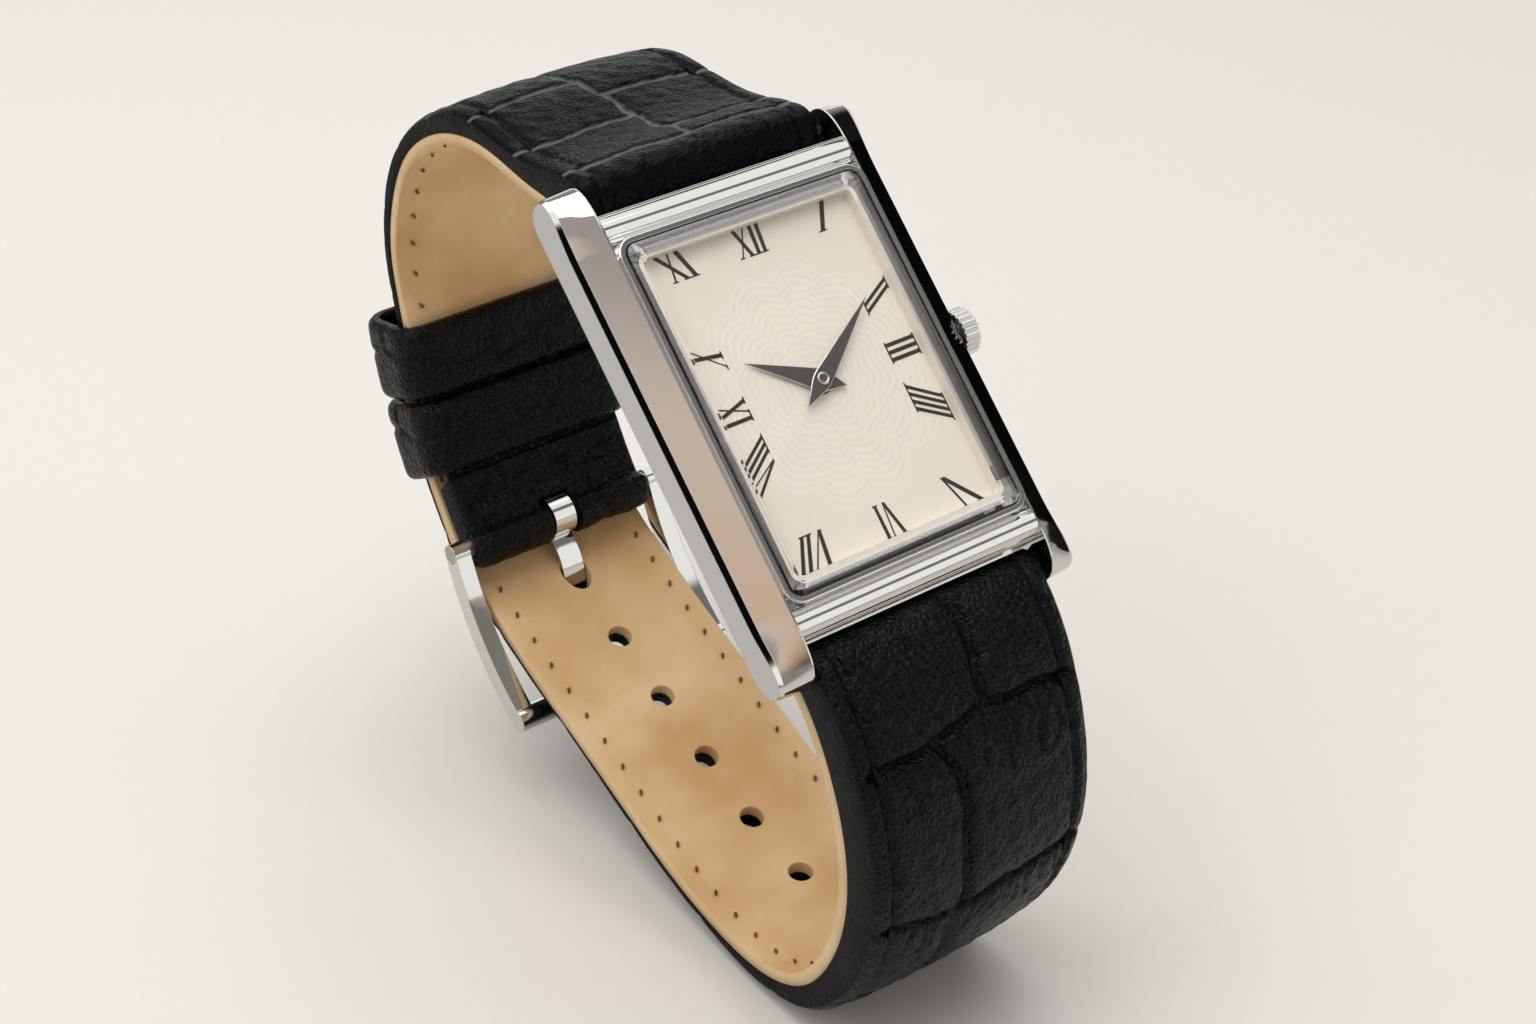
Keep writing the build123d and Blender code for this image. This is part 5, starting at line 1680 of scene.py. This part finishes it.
    def build_twelve(self) -> None:
        """Builds the short piece, as far as the fold round the buckle's pin."""
        inner, middle, outer = self.twelve_curves()
        halves = WIDTHS.half(inner[:, 1])
        leather = StrapLayer(middle, outer, self.edge_round, self.twelve_crown, self.groove,
                             self.twelve_lug_round, pale_crease_below=0.16, pale_crease_fade=0.08)
        self.layers("strap_twelve", inner, halves, leather, self.twelve_pattern(), "pale_crease_leather",
                    folded=True)
        self.stitches("strap_twelve_stitches", outer, halves, -1, self.twelve_crown, self.twelve_sewn)
        self.stitches("strap_twelve_lining_stitches", inner, halves, 1, 0.0, self.twelve_lining_sewn)
        LOG.info("strap_twelve: leather, lining and stitches built")

    def fold_over(self, mesh: bpy.types.Mesh) -> None:
        """Makes the lining black under the keepers, where the folded leather runs on.

        Args:
            mesh: the lining's mesh, in dial millimetres.
        """
        low = LOOP.point(self.fold_angle, LOOP.radius)
        for face in mesh.polygons:
            if face.center.y < low[0] and face.center.z < low[1]:
                face.material_index = 2

    def build(self) -> None:
        """Builds both pieces."""
        self.build_six()
        self.build_twelve()


@dataclass
class Keepers:
    """The fixed and the free keeper: leather loops round both strap pieces."""

    finishes: Finishes
    width: float = 6.0
    wall: float = 1.1
    play: float = 0.15
    gap: float = 0.45
    start_angle: float = 17.0
    corner: float = 1.3
    corner_steps: int = 8
    edge_round: float = 0.4
    edge_falloff: float = 1.8
    border: float = 0.8
    lip: float = 0.12
    lip_fade: float = 0.2
    scale_lengths: Point = (6.5, 9.0)
    scale_start: float = 3.0
    scale_level: float = 1.2
    scale_side: float = 3.2
    scale_slant: float = 0.2
    crease_depths: tuple[float, float, float] = (0.18, 0.18, 0.2)
    crease_width: float = 0.26
    scale_dome: float = 0.05
    scale_wrinkle: float = 0.02
    turn_stations: int = 240
    face_stations: int = 26

    def path(self, half: float, low: float, high: float) -> np.ndarray:
        """Lays the loop's inner line, a rectangle with round corners.

        Args:
            half: half of its width.
            low: its radius on the wrist's side.
            high: its radius on the outside.

        Returns:
            Rows of x, radius, and the outward direction's two parts.
        """
        corner = self.corner
        centres = ((half - corner, high - corner, 0.0), (-half + corner, high - corner, 90.0),
                   (-half + corner, low + corner, 180.0), (half - corner, low + corner, 270.0))
        points = []
        for x, r, first in centres:
            for step in range(self.corner_steps + 1):
                turn = math.radians(first + step * 90 / self.corner_steps)
                points.append((x + corner * math.cos(turn), r + corner * math.sin(turn)))
        closed = np.array(points + points[:1])
        line = read_along(closed, np.linspace(0, run_along(closed)[-1], self.turn_stations + 1)[:-1])
        slope = np.roll(line, -1, axis=0) - np.roll(line, 1, axis=0)
        slope /= np.linalg.norm(slope, axis=1)[:, None]
        return np.column_stack([line, slope[:, 1], -slope[:, 0]])

    def pattern(self, seed: int, around: float) -> Embossing:
        """Gives the keeper's large scales, pressed across and along it.

        Args:
            seed: picks one pattern out of many.
            around: the keeper's length round the strap.

        Returns:
            The embossing.
        """
        marks = Embossing(seed=seed, dome=self.scale_dome, wrinkle=self.scale_wrinkle)
        rng = random.Random(seed)
        place, level, side = self.scale_start, self.scale_level, self.scale_side
        while place < around - self.scale_start:
            step = rng.uniform(*self.scale_lengths)
            middle = place + step / 2
            lines = (((place, level), (place + self.scale_slant, side)),
                     ((middle, -side), (middle, level)), ((place, level), (place + step, -level)))
            marks.creases += [Crease(line, depth, self.crease_width)
                              for line, depth in zip(lines, self.crease_depths)]
            place, level = place + step, -level
        return marks

    def keeper(self, name: str, body: str, start: float, seed: int) -> None:
        """Builds one keeper.

        Args:
            name: the CAD node that it stands for.
            body: the body it rides on.
            start: the angle where it starts, in degrees.
            seed: picks its scales.
        """
        outer_radius = LOOP.radius + LOOP.thickness
        half = WIDTHS.tip_half + self.play
        low, high = LOOP.radius - self.play, outer_radius + LOOP.tail_gap + LOOP.thickness + self.play
        line = self.path(half, low, high)
        around = float(run_along(line[:, :2])[-1])
        marks = self.pattern(seed, around)
        sides = np.linspace(-1, 1, self.face_stations) * self.width / 2
        inset = self.width / 2 - np.abs(sides)
        turn = np.linspace(0, around, self.turn_stations)
        length, side = np.meshgrid(turn, sides, indexing="ij")
        lift = marks.height(np.column_stack([length.ravel(), side.ravel()])).reshape(length.shape)
        lift *= np.clip(inset / self.border, 0, 1)[None, :]
        edge = self.edge_round * np.exp(-(inset / self.edge_round) * self.edge_falloff)
        top = self.wall - edge[None, :] + lift
        bottom = np.zeros_like(top) + self.lip * np.exp(-inset / self.lip_fade)[None, :]
        rows = []
        for place, height in ((side, top), (side[:, ::-1], bottom[:, ::-1])):
            x = line[:, 0, None] + line[:, 2, None] * height
            radius = line[:, 1, None] + line[:, 3, None] * height
            angle = np.radians(start) + (place + self.width / 2) / outer_radius
            y = LOOP.centre_y + radius * np.sin(angle)
            z = LOOP.centre_z - radius * np.cos(angle)
            rows.append(np.stack([x, y, z], -1))
        ring = np.concatenate(rows, axis=1)
        count, across = ring.shape[:2]
        faces = []
        for i in range(count):
            for j in range(across):
                a, b = i * across + j, i * across + (j + 1) % across
                c, d = ((i + 1) % count) * across + (j + 1) % across, ((i + 1) % count) * across + j
                faces.append((a, b, c, d))
        mesh = mesh_from(name, ring.reshape(-1, 3), faces)
        piece = new_object(name + "_finished", mesh, body,
                           [self.finishes.get("leather")])
        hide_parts(name)
        LOG.info("%s: built", name)

    def build(self) -> None:
        """Builds both keepers, the free one next to the fixed one."""
        step = math.degrees((self.width + self.gap) / (LOOP.radius + LOOP.thickness))
        self.keeper("fixed_keeper", "case", self.start_angle, 21)
        self.keeper("free_keeper", "free_keeper", self.start_angle + step, 34)


@dataclass
class BuckleFold:
    """The end of the short strap piece, folded round the buckle's pin and sewn."""

    finishes: Finishes
    bar_y: float = 5.0
    bar_radius: float = 39.1
    turn_radius: float = 1.85
    bore_radius: float = 0.85
    rise: float = 0.25
    turn_start: float = 78.0
    turn_span: float = 204.0
    turn_steps: int = 18
    flat_from: float = 0.9
    flat_points: int = 14
    outline_points: int = 150
    border: Point = (0.4, 1.1)
    scale_press: Point = (0.26, 0.33)
    scale_share: float = 0.6
    edge_round: float = 0.3
    edge_falloff: float = 1.6
    slot_half: float = 1.3
    slot_start: float = 4.0
    slot_end_y: float = 6.45
    slot_depth: float = 8.0
    bore_length: float = 20.0
    bore_sides: int = 40
    stitch_y: float = 8.7
    sewn: Point = (0.2, 7.1)
    sewn_points: int = 40
    stations: int = 70
    spread: float = 0.94

    def bar(self) -> Point:
        """Gives the place of the pin's middle."""
        return LOOP.point(LOOP.angle(self.bar_y, self.bar_radius), self.bar_radius)

    def outline(self) -> np.ndarray:
        """Draws the fold's outline: out along the inside, round the pin, and back.

        Returns:
            Its y and z at even steps.
        """
        y, z = self.bar()
        tilt = math.radians(LOOP.angle(self.bar_y, self.bar_radius))
        flats = [LOOP.arc(LOOP.angle(LOOP.fold_y, radius), LOOP.angle(self.bar_y + self.flat_from, radius),
                          radius, self.flat_points)
                 for radius in (LOOP.radius - self.rise, LOOP.radius + LOOP.thickness)]
        turns = [math.radians(self.turn_start + step * self.turn_span / self.turn_steps) + tilt
                 for step in range(self.turn_steps + 1)]
        bend = [(y + self.turn_radius * math.cos(turn), z + self.turn_radius * math.sin(turn))
                for turn in turns]
        line = np.array(flats[0] + bend + flats[1][::-1])
        return read_along(line, np.linspace(0, run_along(line)[-1], self.outline_points))

    def pattern(self) -> Embossing:
        """Draws the scales on the folded end.

        Returns:
            The embossing.
        """
        lines = (((2.4, -8.0), (2.6, 8.0)), ((0.0, -3.4), (2.5, -3.2)), ((2.5, 3.6), (9.0, 3.9)),
                 ((10.6, -8.0), (10.8, 8.0)))
        return Embossing([Crease(line, *self.scale_press) for line in lines], seed=57)

    def build(self) -> None:
        """Builds the fold and its stitches."""
        line = self.outline()
        half = WIDTHS.tip_half
        count = len(line)
        out = outward_of(line)
        fan = math.pi / 2 * self.spread
        across = np.sin(np.linspace(-1, 1, self.stations) * fan) / math.sin(fan) * half
        length, side = np.meshgrid(run_along(line), across, indexing="ij")
        lift = self.pattern().height(np.column_stack([length.ravel(), side.ravel()])).reshape(length.shape)
        inset = half - np.abs(across)
        start, end = self.border
        lift = lift * np.clip((inset - start) / (end - start), 0, 1)[None, :] * self.scale_share
        lift -= self.edge_round * np.exp(-(inset / self.edge_round) * self.edge_falloff)[None, :]
        y = line[:, 0, None] + out[:, 0, None] * lift
        z = line[:, 1, None] + out[:, 1, None] * lift
        grid = np.stack([side, y, z], -1)
        faces = []
        for i in range(count - 1):
            for j in range(self.stations - 1):
                a = i * self.stations + j
                faces.append((a, a + 1, a + 1 + self.stations, a + self.stations))
        half_count = count // 2 - 1
        walls = []
        for i in range(half_count):
            for j in (0, self.stations - 1):
                a, b = i * self.stations + j, (i + 1) * self.stations + j
                c, d = (count - 2 - i) * self.stations + j, (count - 1 - i) * self.stations + j
                walls.append((a, b, c, d))
        for j in range(self.stations - 1):
            walls.append((j, j + 1, (count - 1) * self.stations + j + 1, (count - 1) * self.stations + j))
        mesh = mesh_from("fold", grid.reshape(-1, 3), faces + walls)
        mesh.polygons.foreach_set("material_index", [0] * len(faces) + [1] * len(walls))
        piece = new_object("strap_twelve_fold", mesh, "case",
                           [self.finishes.get("leather"), self.finishes.get("leather_edge")])
        self.cut(piece)
        self.sew()
        LOG.info("strap_twelve_fold: built")

    def cut(self, piece: bpy.types.Object) -> None:
        """Cuts the pin's bore and the tongue's slot out of the fold.

        Args:
            piece: the fold.
        """
        y, z = self.bar()
        bore, slot = bmesh.new(), bmesh.new()
        turn = Matrix.Rotation(math.radians(90), 4, "Y")
        bmesh.ops.create_cone(bore, cap_ends=True, segments=self.bore_sides, radius1=self.bore_radius,
                              radius2=self.bore_radius, depth=self.bore_length,
                              matrix=Matrix.Translation((0, y, z)) @ turn)
        low, high = y - self.slot_start, self.slot_end_y
        bmesh.ops.create_cube(slot, size=1.0, matrix=Matrix.Translation((0, (low + high) / 2, z))
                              @ Matrix.Diagonal((2 * self.slot_half, high - low, self.slot_depth, 1.0)))
        for tool in (bore, slot):
            cut_away(piece, tool, crossing=True)
            tool.free()

    def sew(self) -> None:
        """Sews the fold across, on both sides of its slot."""
        radius = LOOP.radius - self.rise
        angle = LOOP.angle(self.stitch_y, radius)
        y, z = LOOP.point(angle, radius)
        turn = math.radians(angle)
        up = np.array([0.0, -math.sin(turn), math.cos(turn)])
        shape = bmesh.new()
        thread, count = Stitching(along_strap=False), self.sewn_points
        near, far = self.sewn
        for start, end in ((-far, -near), (near, far)):
            xs = np.linspace(start, end, count)
            line = np.column_stack([xs, np.full(count, y), np.full(count, z)])
            thread.row(shape, line, np.tile(up, (count, 1)))
        mesh = bpy.data.meshes.new("fold_stitches")
        close_up(shape, mesh)
        new_object("strap_twelve_fold_stitches", mesh, "case",
                   [self.finishes.get("thread")])


# Floor, light and camera

@dataclass(frozen=True)
class RoomCard:
    """A card on the studio's walls, seen from the watch: where it stands and its tones.

    Each window is an axis of the direction with the two values between which the card
    fades in, and each tone is the direction's height with its colour there.
    """

    windows: tuple[tuple[str, float, float], ...]
    tones: tuple[tuple[float, str], ...]


@dataclass
class Studio:
    """A plain pale floor, one soft lamp, a toned room and the camera at the photograph's angle."""

    floor_reach: float = 4.0
    camera_place: tuple[float, float, float] = (-99.671, -138.912, 107.552)
    camera_turn: tuple[float, float, float] = (57.519, 0.078, -37.447)
    lens: float = 65.62
    sensor: float = 36.0
    clip: Point = (0.01, 20.0)
    wall: str = "#8E8C8A"
    room_light: float = 1.3
    flag_x: float = 320.0
    flag_span: Point = (10.0, 115.0)
    flag_height: float = 85.0
    lamp_place: tuple[float, float, float] = (-70.0, 60.0, 420.0)
    lamp_size: float = 480.0
    lamp_power: float = 1.72
    lamp_colour: str = "#FFFDF8"
    cards: tuple[RoomCard, ...] = (
        RoomCard((("X", -0.72, -0.6), ("X", -0.12, -0.25), ("Y", -0.25, -0.38)),
                 ((0.15, "#2A2420"), (0.34, "#79624F"), (0.54, "#B59F8A"), (0.66, "#D5BEA9"),
                  (0.703, "#D2C3B9"), (0.735, "#A79F9D"))),
        RoomCard((("X", -0.6, -0.68), ("X", -0.9, -0.84)), ((0.0, "#FFFFFF"), (1.0, "#FFFFFF"))),
        RoomCard((("X", -0.84, -0.9),), ((0.0, "#0B0B0C"), (1.0, "#0B0B0C"))),
        RoomCard((("X", 0.3, 0.42), ("X", 0.74, 0.66)), ((0.0, "#FBFBFB"), (1.0, "#FBFBFB"))),
        RoomCard((("X", 0.3, 0.42), ("X", 0.74, 0.66), ("Y", -0.62, -0.56), ("Y", -0.3, -0.38)),
                 ((0.0, "#747474"), (1.0, "#747474"))),
        RoomCard((("X", 0.76, 0.88),), ((0.0, "#18181A"), (1.0, "#18181A"))))

    def stage(self, name: str, corners: list[tuple[float, float, float]], finish: Finish) -> None:
        """Stands a flat board on the stage.

        Args:
            name: its name.
            corners: its four corners in metres.
            finish: the finish it gets.
        """
        mesh = bpy.data.meshes.new(name)
        mesh.from_pydata(corners, [], [(0, 1, 2, 3)])
        mesh.materials.append(finish.build())
        board = bpy.data.objects.new(name, mesh)
        bpy.context.scene.collection.objects.link(board)
        board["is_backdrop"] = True

    def floor(self, height: float) -> None:
        """Lays the floor.

        Args:
            height: the floor's height in metres.
        """
        far = self.floor_reach
        self.stage("floor", [(-far, -far, height), (far, -far, height), (far, far, height),
                             (-far, far, height)], StudioPaper())

    def flag(self, height: float) -> None:
        """Stands a low black flag on the floor at the right, which the right rail mirrors.

        Args:
            height: the floor's height in metres.
        """
        x, top = self.flag_x * MM, height + self.flag_height * MM
        near, far = (y * MM for y in self.flag_span)
        self.stage("flag", [(x, near, height), (x, far, height), (x, far, top), (x, near, top)],
                   StudioVelvet())

    def lamp(self) -> None:
        """Hangs the large soft lamp that looks at the watch.

        It is large so that the crystal, seen from the front, doesn't hide the dial with its
        mirror image.
        """
        data = bpy.data.lights.new("key", "AREA")
        data.shape, data.size, data.size_y = "RECTANGLE", self.lamp_size * MM, self.lamp_size * MM
        data.energy, data.color = self.lamp_power, linear(self.lamp_colour)[:3]
        lamp = bpy.data.objects.new("key", data)
        lamp.location = Vector(self.lamp_place) * MM
        lamp.rotation_euler = (-lamp.location).to_track_quat("-Z", "Y").to_euler()
        bpy.context.scene.collection.objects.link(lamp)

    def world(self) -> None:
        """Sets the room's light: even walls with the cards that the metal mirrors."""
        world = bpy.data.worlds.new("room")
        world.use_nodes = True
        bpy.context.scene.world = world
        tree = world.node_tree
        back = tree.nodes["Background"]
        direction = add_node(tree, "ShaderNodeTexCoord")
        split = add_node(tree, "ShaderNodeSeparateXYZ", None, {"Vector": direction.outputs["Generated"]})
        height = add_node(tree, "ShaderNodeMapRange", {"From Min": -1.0},
                          {"Value": split.outputs["Z"]})
        below = add_node(tree, "ShaderNodeRGB").outputs["Color"]
        below.default_value = linear(self.wall)
        for card in self.cards:
            share = None
            for axis, start, end in card.windows:
                fade = add_node(tree, "ShaderNodeMapRange",
                                {"interpolation_type": "SMOOTHSTEP", "From Min": start, "From Max": end},
                                {"Value": split.outputs[axis]}).outputs["Result"]
                share = fade if share is None else add_node(
                    tree, "ShaderNodeMath", {"operation": "MULTIPLY"}, {0: share, 1: fade}).outputs[0]
            tone = add_node(tree, "ShaderNodeValToRGB", None, {"Fac": height.outputs["Result"]})
            stops = tone.color_ramp.elements
            while len(stops) < len(card.tones):
                stops.new(1.0)
            for stop, (level, colour) in zip(stops, card.tones):
                stop.position, stop.color = (level + 1) / 2, linear(colour)
            below = add_node(tree, "ShaderNodeMix", {"data_type": "RGBA"},
                             {"Factor": share, 6: below, 7: tone.outputs["Color"]}).outputs[2]
        tree.links.new(below, back.inputs["Color"])
        back.inputs["Strength"].default_value = self.room_light

    def camera(self) -> None:
        """Sets the camera at the place and turn that were fitted to the photograph."""
        data = bpy.data.cameras.new("camera")
        data.lens, data.sensor_width = self.lens, self.sensor
        data.clip_start, data.clip_end = self.clip
        camera = bpy.data.objects.new("camera", data)
        camera.location = Vector(self.camera_place) * MM
        camera.rotation_euler = [math.radians(a) for a in self.camera_turn]
        bpy.context.scene.collection.objects.link(camera)
        bpy.context.scene.camera = camera

    def build(self, lowest: float) -> None:
        """Builds the whole studio.

        Args:
            lowest: the watch's lowest point in metres.
        """
        self.floor(lowest)
        self.flag(lowest)
        self.world()
        self.camera()
        self.lamp()
        bpy.context.scene.view_settings.view_transform = "Standard"
        LOG.info("studio built")


def main() -> None:
    """Builds the watch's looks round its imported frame, piece by piece."""
    logging.basicConfig(level=logging.INFO, format="%(name)s: %(message)s")
    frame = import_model()
    cad_low, cad_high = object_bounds()
    finishes = Finishes()
    finishes.build()
    CarriedNodes(finishes).build(frame["nodes"])
    DialPrint(finishes).build()
    Hands(finishes).build()
    Strap(finishes).build()
    Keepers(finishes).build()
    BuckleFold(finishes).build()
    Studio().build(min(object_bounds()[0].z, cad_low.z))


if __name__ == "__main__":
    main()
